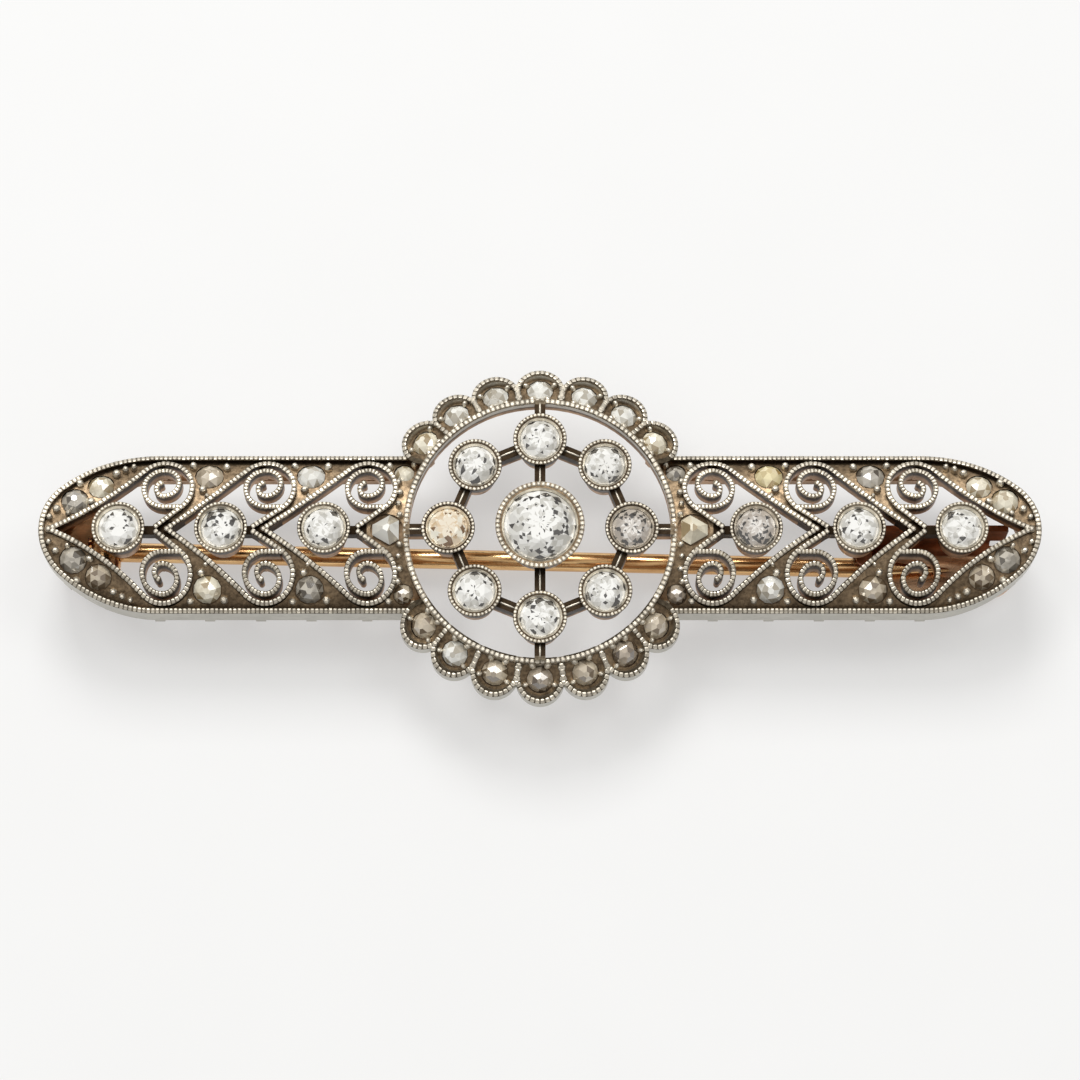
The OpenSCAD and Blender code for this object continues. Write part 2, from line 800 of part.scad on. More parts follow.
openwork_mount();
center_diamond();
for (i = [1:ring_stones])
    ring_diamond(i);
for (i = [1:6])
    bar_diamond(i);
for (i = [1:halo_stones])
    halo_rose(i);
mirror([1, 0, 0]) drop_rose_right();  // drop_rose_left
drop_rose_right();
mirror([1, 0, 0]) wing_roses();  // wing_roses_left
wing_roses();  // wing_roses_right
hinge_block();
hinge_rivet();
pin_stem();
catch();
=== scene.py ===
"""Dresses an openwork bar brooch with diamonds and lays it on a pale table.

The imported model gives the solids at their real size. This script adds the milgrain beads, the
grains that hold the small stones, the burnished lips of the collets, the light ridges of the
bars and every finish. Plan sizes are in millimetres, and meshes are in metres.
"""
import logging
import math
from dataclasses import dataclass
from enum import Enum
from typing import Iterable, Sequence

import bpy
import numpy as np
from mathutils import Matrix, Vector


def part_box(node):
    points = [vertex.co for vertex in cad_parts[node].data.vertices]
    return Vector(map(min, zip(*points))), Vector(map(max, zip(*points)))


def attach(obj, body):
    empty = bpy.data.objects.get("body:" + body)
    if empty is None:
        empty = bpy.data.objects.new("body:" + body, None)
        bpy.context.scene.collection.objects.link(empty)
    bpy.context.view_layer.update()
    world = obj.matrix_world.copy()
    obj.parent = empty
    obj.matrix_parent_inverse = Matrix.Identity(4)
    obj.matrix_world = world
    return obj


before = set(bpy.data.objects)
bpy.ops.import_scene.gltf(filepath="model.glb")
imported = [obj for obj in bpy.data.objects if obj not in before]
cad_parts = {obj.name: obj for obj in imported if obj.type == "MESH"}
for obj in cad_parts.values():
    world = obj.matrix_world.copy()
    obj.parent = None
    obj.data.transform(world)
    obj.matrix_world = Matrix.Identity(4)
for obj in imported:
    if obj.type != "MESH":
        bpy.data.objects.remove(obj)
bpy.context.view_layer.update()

# One millimetre, in metres
MM = 0.001
UP = Vector((0.0, 0.0, 1.0))
DIAMOND_IOR = 2.42

# Mesh attribute that holds how bright a bead's metal is
TONE = "tone"
log = logging.getLogger("brooch")

Point = tuple[float, float]
Pair = tuple[float, float]
Colour = tuple[float, float, float, float]
Socket = bpy.types.NodeSocket
Sockets = bpy.types.bpy_prop_collection


class Body(Enum):
    """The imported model's body that new pieces ride on."""

    BROOCH = "brooch"


class Slot(Enum):
    """The record's material slot named for new pieces, which the script does not give them."""

    SILVER = "silver"


class Side(Enum):
    """Which arm of the bar, as the sign of its X."""

    LEFT = -1
    RIGHT = 1


@dataclass(frozen=True)
class Camber:
    """The bar's face, round across its width.

    Attributes:
        crest: Height of the face along the middle line.
        radius: Radius of its curve.
    """

    crest: float = 6.05
    radius: float = 8.7

    def place(self, x: float, y: float) -> tuple[Vector, Vector]:
        """Finds the face above a point of the plan.

        Args:
            x: Distance along the bar, in millimetres.
            y: Distance across the bar, in millimetres.

        Returns:
            The point on the face, in millimetres, and the face's normal.
        """
        rise = math.sqrt(self.radius ** 2 - y ** 2)
        normal = Vector((0.0, y, rise)).normalized()
        return Vector((x, y, self.crest - self.radius + rise)), normal


@dataclass(frozen=True)
class Border:
    """The ring and the border that slopes down round it.

    Attributes:
        ring_r: Radius of the ring's middle line.
        ring_z: Height of the ring.
        edge_r: Radius of the scallops' outermost points.
        edge_z: Height of the border's face there.
        scallop_r: Outer radius of a scallop.
        line_w: Width of the raised lines.
        stone_r: Radius of the circle of the border's stones.
        well: How much deeper the parts inside the ring count, so that they take more painted shade.
        wall_play: Room that the masks of walls leave for the mesh.
        rubbed_h: Height of the rubbed band on the ring's inner wall.
    """

    ring_r: float = 7.4
    ring_z: float = 5.7
    edge_r: float = 9.53
    edge_z: float = 4.6
    scallop_r: float = 1.35
    line_w: float = 0.26
    stone_r: float = 8.38
    well: float = 1.4
    wall_play: float = 0.1
    rubbed_h: float = 0.4

    @property
    def slope(self) -> float:
        """Fall of the border for each millimetre outwards."""
        return (self.ring_z - self.edge_z) / (self.edge_r - self.ring_r)

    @property
    def wall_r(self) -> float:
        """Radius of the ring's inner wall."""
        return self.ring_r - self.line_w / 2

    def place(self, x: float, y: float) -> tuple[Vector, Vector]:
        """Finds the border's face above a point of the plan.

        Args:
            x: Distance along the bar, in millimetres.
            y: Distance across the bar, in millimetres.

        Returns:
            The point on the face, in millimetres, and the face's normal.
        """
        r = math.hypot(x, y)
        fall = max(r - self.ring_r, 0.0) * self.slope
        tilt = self.slope if r > self.ring_r else 0.0
        normal = Vector((x / r * tilt, y / r * tilt, 1.0)).normalized()
        return Vector((x, y, self.ring_z - fall)), normal


@dataclass(frozen=True)
class Outline:
    """The bar's outline: straight sides, drawn in by a wide arc to a round nose.

    Attributes:
        half_length: Distance from the middle of the brooch to the tip.
        half_width: Half the bar's width.
        nose_r: Radius of the nose.
        shoulder_x: Where the edge starts to draw in.
        link_y: Half the width of the links along the middle line.
        wall_reach: How far inside the outline the outer wall and its posts lie.
    """

    half_length: float = 27.55
    half_width: float = 4.5
    nose_r: float = 3.3
    shoulder_x: float = 21.1
    link_y: float = 0.5
    wall_reach: float = 0.25

    @property
    def nose_x(self) -> float:
        """X of the nose's centre."""
        return self.half_length - self.nose_r

    @property
    def wide_r(self) -> float:
        """Radius of the wide arc."""
        run = self.nose_x - self.shoulder_x
        drop = self.half_width - self.nose_r
        return (run ** 2 + self.half_width ** 2 - self.nose_r ** 2) / (2 * drop)

    @property
    def wide_y(self) -> float:
        """Y of the wide arc's centre, below the middle line."""
        return self.half_width - self.wide_r

    @property
    def meeting(self) -> float:
        """Bearing in degrees at which the wide arc meets the nose."""
        return math.degrees(math.atan2(-self.wide_y, self.nose_x - self.shoulder_x))


class Route:
    """A line in the plan, made of straight runs and arcs end to end.

    Attributes:
        step_deg: Turn between two points of an arc, in degrees.
        reach: How far to each side of a mark its direction is measured.
        points: The line's points.
    """

    step_deg = 3.0
    reach = 0.02

    def __init__(self, points: Sequence[Point] = ()) -> None:
        """Starts a route with straight runs through the points."""
        self.points: list[Point] = [tuple(p) for p in points]

    def arc(self, centre: Point, radius: float, start: float, stop: float) -> "Route":
        """Adds an arc.

        Args:
            centre: Centre of the arc.
            radius: Its radius.
            start: Bearing of its first point, in degrees from +X.
            stop: Bearing of its last point.

        Returns:
            The same route.
        """
        count = max(2, int(abs(stop - start) / self.step_deg))
        for i in range(count + 1):
            a = math.radians(start + (stop - start) * i / count)
            self.points.append((centre[0] + radius * math.cos(a), centre[1] + radius * math.sin(a)))
        return self

    def line(self, end: Point) -> "Route":
        """Adds a straight run to the end point and returns the same route."""
        self.points.append(tuple(end))
        return self

    def turned(self, flip_x: int, flip_y: int) -> "Route":
        """Returns a copy with its signs of X and Y multiplied by the flips."""
        return Route([(x * flip_x, y * flip_y) for x, y in self.points])

    def spaced(self, pitch: float, closed: bool = False) -> list[tuple[Point, Point]]:
        """Spaces marks evenly along the route.

        Args:
            pitch: Wanted distance between marks; it is stretched a little to fit.
            closed: True if the route ends where it starts.

        Returns:
            A position and a unit direction for each mark.
        """
        p = np.array(self.points)
        runs = np.hypot(*np.diff(p, axis=0).T)
        along = np.concatenate([[0.0], np.cumsum(runs)])
        count = max(1, round(along[-1] / pitch))
        marks = np.linspace(0.0, along[-1], count + 1)[: count if closed else count + 1]

        def at(places: np.ndarray) -> np.ndarray:
            """Finds the points at those distances along the route."""
            return np.column_stack([np.interp(places, along, p[:, k]) for k in (0, 1)])

        spots = at(marks)
        heading = at(marks + self.reach) - at(marks - self.reach)
        heading /= np.maximum(np.hypot(*heading.T), 1e-9)[:, None]
        return [(tuple(s), tuple(h)) for s, h in zip(spots, heading)]


@dataclass(frozen=True)
class Pellet:
    """A small part that is modelled once and set many times.

    Attributes:
        verts: Its corners, on a unit scale, with its foot at about z = 0.
        faces: Its faces, as the numbers of their corners.
    """

    verts: np.ndarray
    faces: list[tuple[int, ...]]


@dataclass
class Setting:
    """Where one pellet goes.

    Attributes:
        spot: Its place, in millimetres.
        along: Direction of its length.
        up: Direction of its height.
        size: Half length, half width and height, in millimetres.
        tone: How bright its metal is, from 0 to 1.
    """

    spot: Vector
    along: Vector
    up: Vector
    size: tuple[float, float, float]
    tone: float = 0.5


class Bench:
    """Mesh work that the sub-assemblies share.

    Attributes:
        top_share: Height above which a block's faces count as its top, for a block one high.
    """

    top_share = 0.9

    @staticmethod
    def clear_selection() -> None:
        """Deselects every object."""
        if bpy.context.mode != "OBJECT":
            bpy.ops.object.mode_set(mode="OBJECT")
        bpy.ops.object.select_all(action="DESELECT")

    @staticmethod
    def cut_flat(height: float) -> None:
        """Cuts away what lies below a height and closes the cut.

        Args:
            height: Height of the cut, in the units of the mesh that is being edited.
        """
        bpy.ops.mesh.select_all(action="SELECT")
        bpy.ops.mesh.bisect(
            plane_co=(0.0, 0.0, height), plane_no=(0.0, 0.0, 1.0), use_fill=True, clear_inner=True
        )

    @staticmethod
    def dome(segments: int, rings: int, foot: float) -> Pellet:
        """Models a bead: a ball cut flat below and closed there.

        Args:
            segments: Sides round the bead.
            rings: Rings from pole to pole of the whole ball.
            foot: How far below its widest ring the bead is cut.

        Returns:
            The bead, with its height scaled to 1.
        """
        Bench.clear_selection()
        bpy.ops.mesh.primitive_uv_sphere_add(segments=segments, ring_count=rings, radius=1.0)
        bpy.ops.object.mode_set(mode="EDIT")
        Bench.cut_flat(-foot)
        bpy.ops.mesh.select_all(action="SELECT")
        bpy.ops.transform.translate(value=(0.0, 0.0, foot))
        squeeze = 1.0 / (1.0 + foot)
        bpy.ops.transform.resize(value=(1.0, 1.0, squeeze), center_override=(0.0, 0.0, 0.0))
        return Bench.take_pellet()

    @staticmethod
    def pillow(bevel: float, crown: float) -> Pellet:
        """Models a milgrain bead: a block with cut edges that narrows upwards.

        Args:
            bevel: Width of the cut edges, for a block two wide.
            crown: Size of its upper face, as a share of its foot.

        Returns:
            The bead, two long, two wide and one high.
        """
        Bench.clear_selection()
        bpy.ops.mesh.primitive_cube_add(size=2.0, location=(0.0, 0.0, 0.0))
        bpy.ops.object.mode_set(mode="EDIT")
        bpy.ops.mesh.select_all(action="SELECT")
        bpy.ops.mesh.bevel(offset=bevel, segments=1, affect="EDGES")
        Bench.cut_flat(0.0)
        bpy.ops.object.mode_set(mode="OBJECT")
        for face in bpy.context.object.data.polygons:
            face.select = face.center.z > Bench.top_share
        bpy.ops.object.mode_set(mode="EDIT")
        bpy.ops.transform.resize(value=(crown, crown, 1.0), center_override=(0.0, 0.0, 0.0))
        return Bench.take_pellet()

    @staticmethod
    def take_pellet() -> Pellet:
        """Takes the mesh of the active object and deletes the object.

        Returns:
            The mesh as a pellet.
        """
        bpy.ops.object.mode_set(mode="OBJECT")
        piece = bpy.context.object
        verts = np.array([v.co[:] for v in piece.data.vertices])
        faces = [tuple(f.vertices) for f in piece.data.polygons]
        bpy.data.objects.remove(piece, do_unlink=True)
        return Pellet(verts, faces)

    @staticmethod
    def strew(
        name: str, pellet: Pellet, settings: Sequence[Setting], smooth: bool = True
    ) -> bpy.types.Object:
        """Sets a pellet at many places and joins the copies in one piece.

        Args:
            name: The piece's name.
            pellet: What is set.
            settings: Where, how large and how bright each copy is.
            smooth: True if the copies are shaded smooth.

        Returns:
            The piece, with its place in its mesh.
        """
        count = len(pellet.verts)
        verts = np.empty((len(settings) * count, 3))
        tones = np.empty(len(settings) * count)
        faces: list[tuple[int, ...]] = []
        for i, s in enumerate(settings):
            up = s.up.normalized()
            across = up.cross(s.along).normalized()
            along = across.cross(up)
            axes = np.array([along[:], across[:], up[:]])
            copy = slice(i * count, (i + 1) * count)
            verts[copy] = (pellet.verts * np.array(s.size)) @ axes + np.array(s.spot[:])
            tones[copy] = s.tone
            faces += [tuple(v + i * count for v in f) for f in pellet.faces]
        mesh = bpy.data.meshes.new(name)
        mesh.from_pydata((verts * MM).tolist(), [], faces)
        mesh.attributes.new(TONE, "FLOAT", "POINT").data.foreach_set("value", tones)
        mesh.polygons.foreach_set("use_smooth", [smooth] * len(mesh.polygons))
        mesh.update()
        piece = bpy.data.objects.new(name, mesh)
        bpy.context.scene.collection.objects.link(piece)
        return piece

    @staticmethod
    def finish(
        piece: bpy.types.Object, material: bpy.types.Material, body: Body, slot: Slot
    ) -> None:
        """Gives a new piece its material and its body.

        Args:
            piece: The new piece.
            material: Its finish.
            body: The body that it rides on.
            slot: The record's slot; not used.
        """
        piece.data.materials.clear()
        piece.data.materials.append(material)
        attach(piece, body.value)


class Graph:
    """Adds and links shader nodes in one tree."""

    def __init__(self, tree: bpy.types.NodeTree) -> None:
        """Works on the given tree."""
        self.tree = tree

    def add(self, kind: str, **settings: object) -> bpy.types.Node:
        """Adds a node.

        Args:
            kind: Its kind, such as "Math", or the whole name of a kind that starts with "Node".
            **settings: Its properties.

        Returns:
            The node.
        """
        node = self.tree.nodes.new(kind if kind.startswith("Node") else "ShaderNode" + kind)
        for key, value in settings.items():
            setattr(node, key, value)
        return node

    def feed(self, socket: Socket, value: object) -> None:
        """Links a socket to the value, or sets it if the value is plain.

        Args:
            socket: The input.
            value: Another node's output, a number or a colour.
        """
        if isinstance(value, Socket):
            self.tree.links.new(value, socket)
        else:
            socket.default_value = value

    def math(
        self, operation: str, a: object, b: object = 0.0, c: object = 0.0
    ) -> Socket:
        """Adds a Math node.

        Args:
            operation: What it does.
            a: Its first value or output to read.
            b: Its second.
            c: Its third.

        Returns:
            The node's output.
        """
        node = self.add("Math", operation=operation)
        for socket, value in zip(node.inputs, (a, b, c)):
            self.feed(socket, value)
        return node.outputs[0]

    def product(self, *values: object) -> Socket:
        """Multiplies values.

        Args:
            *values: Two or more outputs or numbers.

        Returns:
            The output of their product.
        """
        result = values[0]
        for value in values[1:]:
            result = self.math("MULTIPLY", result, value)
        return result

    def minus(self, a: object, b: object) -> Socket:
        """Subtracts b from a and returns the output."""
        return self.math("SUBTRACT", a, b)

    def more(self, a: object, b: object) -> Socket:
        """Returns an output that is 1 where a is larger than b."""
        return self.math("GREATER_THAN", a, b)

    def less(self, a: object, b: object) -> Socket:
        """Returns an output that is 1 where a is smaller than b."""
        return self.math("LESS_THAN", a, b)

    def span(
        self, value: object, low: float, high: float, to_low: float = 0.0, to_high: float = 1.0
    ) -> Socket:
        """Maps a value from one range to another, clamped.

        Args:
            value: What is mapped.
            low: Value that gives to_low.
            high: Value that gives to_high.
            to_low: First end of the new range.
            to_high: Its other end.

        Returns:
            The node's output.
        """
        node = self.add("MapRange")
        for socket, v in zip(node.inputs, (value, low, high, to_low, to_high)):
            self.feed(socket, v)
        return node.outputs[0]

    def mix(self, factor: object, a: object, b: object) -> Socket:
        """Mixes two colours.

        Args:
            factor: Share of the second colour.
            a: The first colour.
            b: The second colour.

        Returns:
            The node's output.
        """
        node = self.add("Mix", data_type="RGBA")
        self.feed(node.inputs["Factor"], factor)
        self.feed(node.inputs[6], a)
        self.feed(node.inputs[7], b)
        return node.outputs[2]

    def place(self) -> Socket:
        """Returns an output that gives Object coordinates, in metres."""
        return self.add("TexCoord").outputs["Object"]

    def parts(self, vector: Socket) -> tuple[Socket, ...]:
        """Splits a vector and returns the outputs of its X, Y and Z."""
        node = self.add("SeparateXYZ")
        self.feed(node.inputs[0], vector)
        return tuple(node.outputs)

    def noise(
        self, scale: object, detail: float, vector: Socket | None = None, roughness: float = 0.5
    ) -> Socket:
        """Adds noise.

        Args:
            scale: Size of the noise, in waves a metre.
            detail: How many finer layers it has.
            vector: The coordinates that it reads, or None for Object coordinates.
            roughness: How strong the finer layers are.

        Returns:
            The output of its value, from 0 to 1.
        """
        node = self.add("TexNoise")
        self.feed(node.inputs["Scale"], scale)
        node.inputs["Detail"].default_value = detail
        node.inputs["Roughness"].default_value = roughness
        self.feed(node.inputs["Vector"], self.place() if vector is None else vector)
        return node.outputs[0]

    def scatter(self, vector: Socket, seed: Socket) -> Socket:
        """Gives every vector and seed a chance value of its own.

        Args:
            vector: The vector.
            seed: The seed.

        Returns:
            The output of the value, from 0 to 1.
        """
        node = self.add("TexWhiteNoise", noise_dimensions="4D")
        self.feed(node.inputs["Vector"], vector)
        self.feed(node.inputs["W"], seed)
        return node.outputs["Value"]


class Effects:
    """Node groups that more than one finish uses."""

    @staticmethod
    def group(
        name: str, inputs: dict[str, float], outputs: Iterable[str]
    ) -> tuple[bpy.types.NodeTree, Graph, Sockets, Sockets]:
        """Makes an empty group with named number sockets.

        Args:
            name: The group's name.
            inputs: Names of its inputs and their usual values.
            outputs: Names of its outputs.

        Returns:
            The tree, a graph on it, and its inner input and output sockets by name.
        """
        tree = bpy.data.node_groups.new(name, "ShaderNodeTree")
        kind = "NodeSocketFloat"
        for key, value in inputs.items():
            socket = tree.interface.new_socket(key, in_out="INPUT", socket_type=kind)
            socket.default_value = value
        for key in outputs:
            tree.interface.new_socket(key, in_out="OUTPUT", socket_type=kind)
        graph = Graph(tree)
        source = graph.add("NodeGroupInput")
        sink = graph.add("NodeGroupOutput")
        return tree, graph, source.outputs, sink.inputs

    @staticmethod
    def tarnish() -> bpy.types.NodeTree:
        """Builds the group of cloudy stains.

        Returns:
            The group, with its Scale in waves a metre and the output Stain.
        """
        tree, g, source, out = Effects.group("tarnish", {"Scale": 400.0}, ("Stain",))
        cloud = g.noise(source["Scale"], detail=5.0, roughness=0.62)
        g.feed(out["Stain"], g.span(cloud, low=0.38, high=0.66))
        return tree

    @staticmethod
    def scratches() -> bpy.types.NodeTree:
        """Builds the group of fine wear marks, which run nearly along the bar.

        Returns:
            The group, with its Scale in waves a metre and the output Mark.
        """
        tree, g, source, out = Effects.group("fine_scratches", {"Scale": 900.0}, ("Mark",))
        drawn_out = g.add("Mapping")
        drawn_out.inputs["Scale"].default_value = (0.12, 1.0, 1.0)
        drawn_out.inputs["Rotation"].default_value = (0.0, 0.0, 0.12)
        g.feed(drawn_out.inputs["Vector"], g.place())
        g.feed(out["Mark"], g.noise(source["Scale"], detail=4.0, vector=drawn_out.outputs[0]))
        return tree

    @staticmethod
    def facets() -> bpy.types.NodeTree:
        """Builds the group that gives each facet a tone of its own, for the stones' painted
        reflections.

        Returns:
            The group, with a Seed and the output Tone, from 0 to 1.
        """
        tree, g, source, out = Effects.group("facet_reflection_tone", {"Seed": 0.0}, ("Tone",))
        step = 0.02
        rounded = g.add("VectorMath", operation="SNAP")
        g.feed(rounded.inputs[0], g.add("NewGeometry").outputs["Normal"])
        rounded.inputs[1].default_value = (step, step, step)
        g.feed(out["Tone"], g.scatter(rounded.outputs[0], source["Seed"]))
        return tree

    @staticmethod
    def glitter() -> bpy.types.NodeTree:
        """Builds the group of painted kite-shaped reflections round the middle of a cut stone.

        Two families of spirals cross in kites, and spokes split them in triangles.

        Returns:
            The group. X, Y and Radius are the stone's middle and size in metres, Count is the
            spokes in a turn and Twist the spirals' turn. Tone is from 0 to 1, Away 1 at the girdle.
        """
        inputs = {"X": 0.0, "Y": 0.0, "Radius": 0.001, "Count": 8.0, "Twist": 3.0, "Seed": 0.0}
        tree, g, source, out = Effects.group("inner_reflections", inputs, ("Tone", "Away"))
        x, y, _ = g.parts(g.place())
        dx = g.minus(x, source["X"])
        dy = g.minus(y, source["Y"])
        squares = g.math("ADD", g.product(dx, dx), g.product(dy, dy))
        away = g.math("DIVIDE", g.math("SQRT", squares), source["Radius"])
        turns = g.math("DIVIDE", g.math("ARCTAN2", dy, dx), 2.0 * math.pi)
        spoke = g.product(turns, source["Count"])
        twist = g.product(away, source["Twist"])
        cell = g.add("CombineXYZ")
        families = (g.math("ADD", spoke, twist), g.minus(spoke, twist), spoke)
        for socket, value in zip(cell.inputs, families):
            g.feed(socket, g.math("FLOOR", value))
        seed = g.math("ADD", source["Seed"], source["Count"])
        g.feed(out["Tone"], g.scatter(cell.outputs[0], seed))
        g.feed(out["Away"], away)
        return tree


@dataclass(frozen=True)
class FaceDepth:
    """The group that measures how deep a point lies below the brooch's face.

    Its Depth is in millimetres. Backing is 1 on the gold layer below the silver, and Side is 1 on
    upright walls. Rubbed is 1 on the walls that a hand or cloth touches: those of the outer edge
    and inside the ring. Link is 1 on the short links between the bar's collets and its hearts.
    The silver finish paints shade by Depth, Side and Link; the links lie in shadow.

    Attributes:
        camber: The bar's face.
        border: The ring and its border.
        outline: The bar's outline.
        backing: Depths at which the gold backing starts and at which it is all that shows.
        upright: Z of the normal at which a wall starts to count as upright and fully counts.
    """

    camber: Camber
    border: Border
    outline: Outline
    backing: Pair = (0.4, 0.8)
    upright: Pair = (0.85, 0.35)

    def face(self, g: Graph, y: Socket, r: Socket) -> Socket:
        """Finds the height of the face.

        Args:
            g: Graph of the group.
            y: Distance from the middle line.
            r: Distance from the middle of the ring.

        Returns:
            The height's output.
        """
        squares = g.minus(self.camber.radius ** 2, g.product(y, y))
        rise = g.math("SQRT", g.math("MAXIMUM", squares, 0.0))
        bar = g.math("ADD", rise, self.camber.crest - self.camber.radius)
        away = g.math("MAXIMUM", g.minus(r, self.border.ring_r), 0.0)
        fall = g.product(away, self.border.slope)
        return g.math("MAXIMUM", bar, g.minus(self.border.ring_z, fall))

    def beyond(self, g: Graph, x: Socket, y: Socket) -> Socket:
        """Measures how far a point lies beyond the bar's outline.

        Args:
            g: Graph of the group.
            x: Distance from the middle of the bar's length.
            y: Distance from the middle line.

        Returns:
            The output, which is 0 on the outline and less inside it.
        """
        line = self.outline

        def past_arc(centre: Point, radius: float) -> Socket:
            """Measures how far the point lies beyond one arc.

            Args:
                centre: Centre of the arc.
                radius: Its radius.

            Returns:
                The output.
            """
            across = g.math("MAXIMUM", g.minus(x, centre[0]), 0.0)
            up = g.minus(y, centre[1])
            squares = g.math("ADD", g.product(across, across), g.product(up, up))
            return g.minus(g.math("SQRT", squares), radius)

        wide = past_arc((line.shoulder_x, line.wide_y), line.wide_r)
        nose = past_arc((line.nose_x, 0.0), line.nose_r)
        turn_x = line.nose_x + line.nose_r * math.cos(math.radians(line.meeting))
        on_nose = g.more(x, turn_x)
        return g.math("ADD", g.product(on_nose, g.minus(nose, wide)), wide)

    def touched(self, g: Graph, x: Socket, y: Socket, z: Socket, r: Socket) -> Socket:
        """Finds where a hand or cloth touches the walls.

        Args:
            g: Graph of the group.
            x: Distance from the middle of the bar's length.
            y: Distance from the middle line.
            z: Height.
            r: Distance from the middle of the ring.

        Returns:
            The output, which is 1 at the outer edge and high inside the ring.
        """
        border = self.border
        play = border.wall_play
        edge = g.more(self.beyond(g, x, y), -self.outline.wall_reach)
        bar_edge = g.product(edge, g.more(r, border.ring_r))
        off_bar = g.more(y, self.outline.half_width - play)
        scallop_edge = g.product(off_bar, g.more(r, border.edge_r - border.scallop_r))
        on_ring = g.less(g.math("ABSOLUTE", g.minus(r, border.wall_r)), play)
        high = g.more(z, border.ring_z - border.rubbed_h)
        outside = g.math("MAXIMUM", bar_edge, scallop_edge)
        return g.math("MAXIMUM", outside, g.product(on_ring, high))

    def group(self) -> bpy.types.NodeTree:
        """Builds the group.

        Returns:
            The group, with the outputs Depth, Backing, Side, Rubbed and Link.
        """
        names = ("Depth", "Backing", "Side", "Rubbed", "Link")
        tree, g, _, out = Effects.group("depth_below_face", {}, names)
        x, y, z = (g.product(part, 1.0 / MM) for part in g.parts(g.place()))
        r = g.math("SQRT", g.math("ADD", g.product(x, x), g.product(y, y)))
        x = g.math("ABSOLUTE", x)
        y = g.math("ABSOLUTE", y)
        face = self.face(g, y, r)
        g.feed(out["Backing"], g.span(g.minus(face, z), *self.backing))
        # Parts inside the ring count deeper, so that the finish paints more shade on them.
        inside = g.less(r, self.border.wall_r - self.border.wall_play)
        inner_face = g.math("ADD", face, g.product(inside, self.border.well))
        g.feed(out["Depth"], g.minus(inner_face, z))
        normal = g.parts(g.add("NewGeometry").outputs["Normal"])
        side = g.span(g.math("ABSOLUTE", normal[2]), *self.upright)
        g.feed(out["Side"], side)
        g.feed(out["Rubbed"], g.product(side, self.touched(g, x, y, z, r)))
        on_line = g.less(y, self.outline.link_y)
        short = g.less(x, self.outline.nose_x)
        g.feed(out["Link"], g.product(on_line, short, g.more(r, self.border.edge_r)))
        return tree


class Palette:
    """Holds the shared groups and the steps that the finishes have in common."""

    def __init__(self, camber: Camber, border: Border, outline: Outline) -> None:
        """Builds the node groups.

        Args:
            camber: The bar's face.
            border: The ring and its border.
            outline: The bar's outline.
        """
        self.depth = FaceDepth(camber, border, outline).group()
        self.tarnish = Effects.tarnish()
        self.scratches = Effects.scratches()
        self.facets = Effects.facets()
        self.glitter = Effects.glitter()

    @staticmethod
    def start(name: str) -> tuple[bpy.types.Material, Graph, bpy.types.Node]:
        """Makes a material with a plain Principled shader.

        Args:
            name: The material's name.

        Returns:
            The material, a graph on its tree, and its shader node.
        """
        material = bpy.data.materials.new(name)
        material.use_nodes = True
        graph = Graph(material.node_tree)
        shader = next(n for n in material.node_tree.nodes if n.type == "BSDF_PRINCIPLED")
        return material, graph, shader

    @staticmethod
    def place(graph: Graph, tree: bpy.types.NodeTree, **values: float) -> Sockets:
        """Adds a group to a material.

        Args:
            graph: Graph of the material.
            tree: The group.
            **values: Its inputs.

        Returns:
            The group's outputs by name.
        """
        node = graph.add("Group", node_tree=tree)
        for key, value in values.items():
            node.inputs[key].default_value = value
        return node.outputs

    def stain(self, graph: Graph, scale: float) -> Socket:
        """Adds stains of that many waves a metre and returns their output."""
        return self.place(graph, self.tarnish, Scale=scale)["Stain"]

    def mark(self, graph: Graph, scale: float) -> Socket:
        """Adds scratches of that many waves a metre and returns their output."""
        return self.place(graph, self.scratches, Scale=scale)["Mark"]

    @staticmethod
    def bump(graph: Graph, shader: bpy.types.Node, height: Socket, strength: float) -> None:
        """Gives a finish its fine relief.

        Args:
            graph: Graph of the material.
            shader: Its shader node.
            height: The relief, from 0 to about 1.
            strength: How strongly it shows.
        """
        relief = 0.02 * MM
        node = graph.add("Bump")
        node.inputs["Strength"].default_value = strength
        node.inputs["Distance"].default_value = relief
        graph.feed(node.inputs["Height"], height)
        graph.feed(shader.inputs["Normal"], node.outputs[0])

    @staticmethod
    def polish(
        graph: Graph, shader: bpy.types.Node, cloud: Socket, roughness: Pair, clear: float
    ) -> None:
        """Makes a finish that of a polished diamond.

        Args:
            graph: Graph of the material.
            shader: Its shader node.
            cloud: Noise that makes the polish uneven.
            roughness: Roughness where the polish is best and where it is worst.
            clear: How much of the light goes through, from 0 to 1.
        """
        graph.feed(shader.inputs["Roughness"], graph.span(cloud, 0.4, 0.8, *roughness))
        shader.inputs["Metallic"].default_value = 0.0
        shader.inputs["Transmission Weight"].default_value = clear
        shader.inputs["IOR"].default_value = DIAMOND_IOR


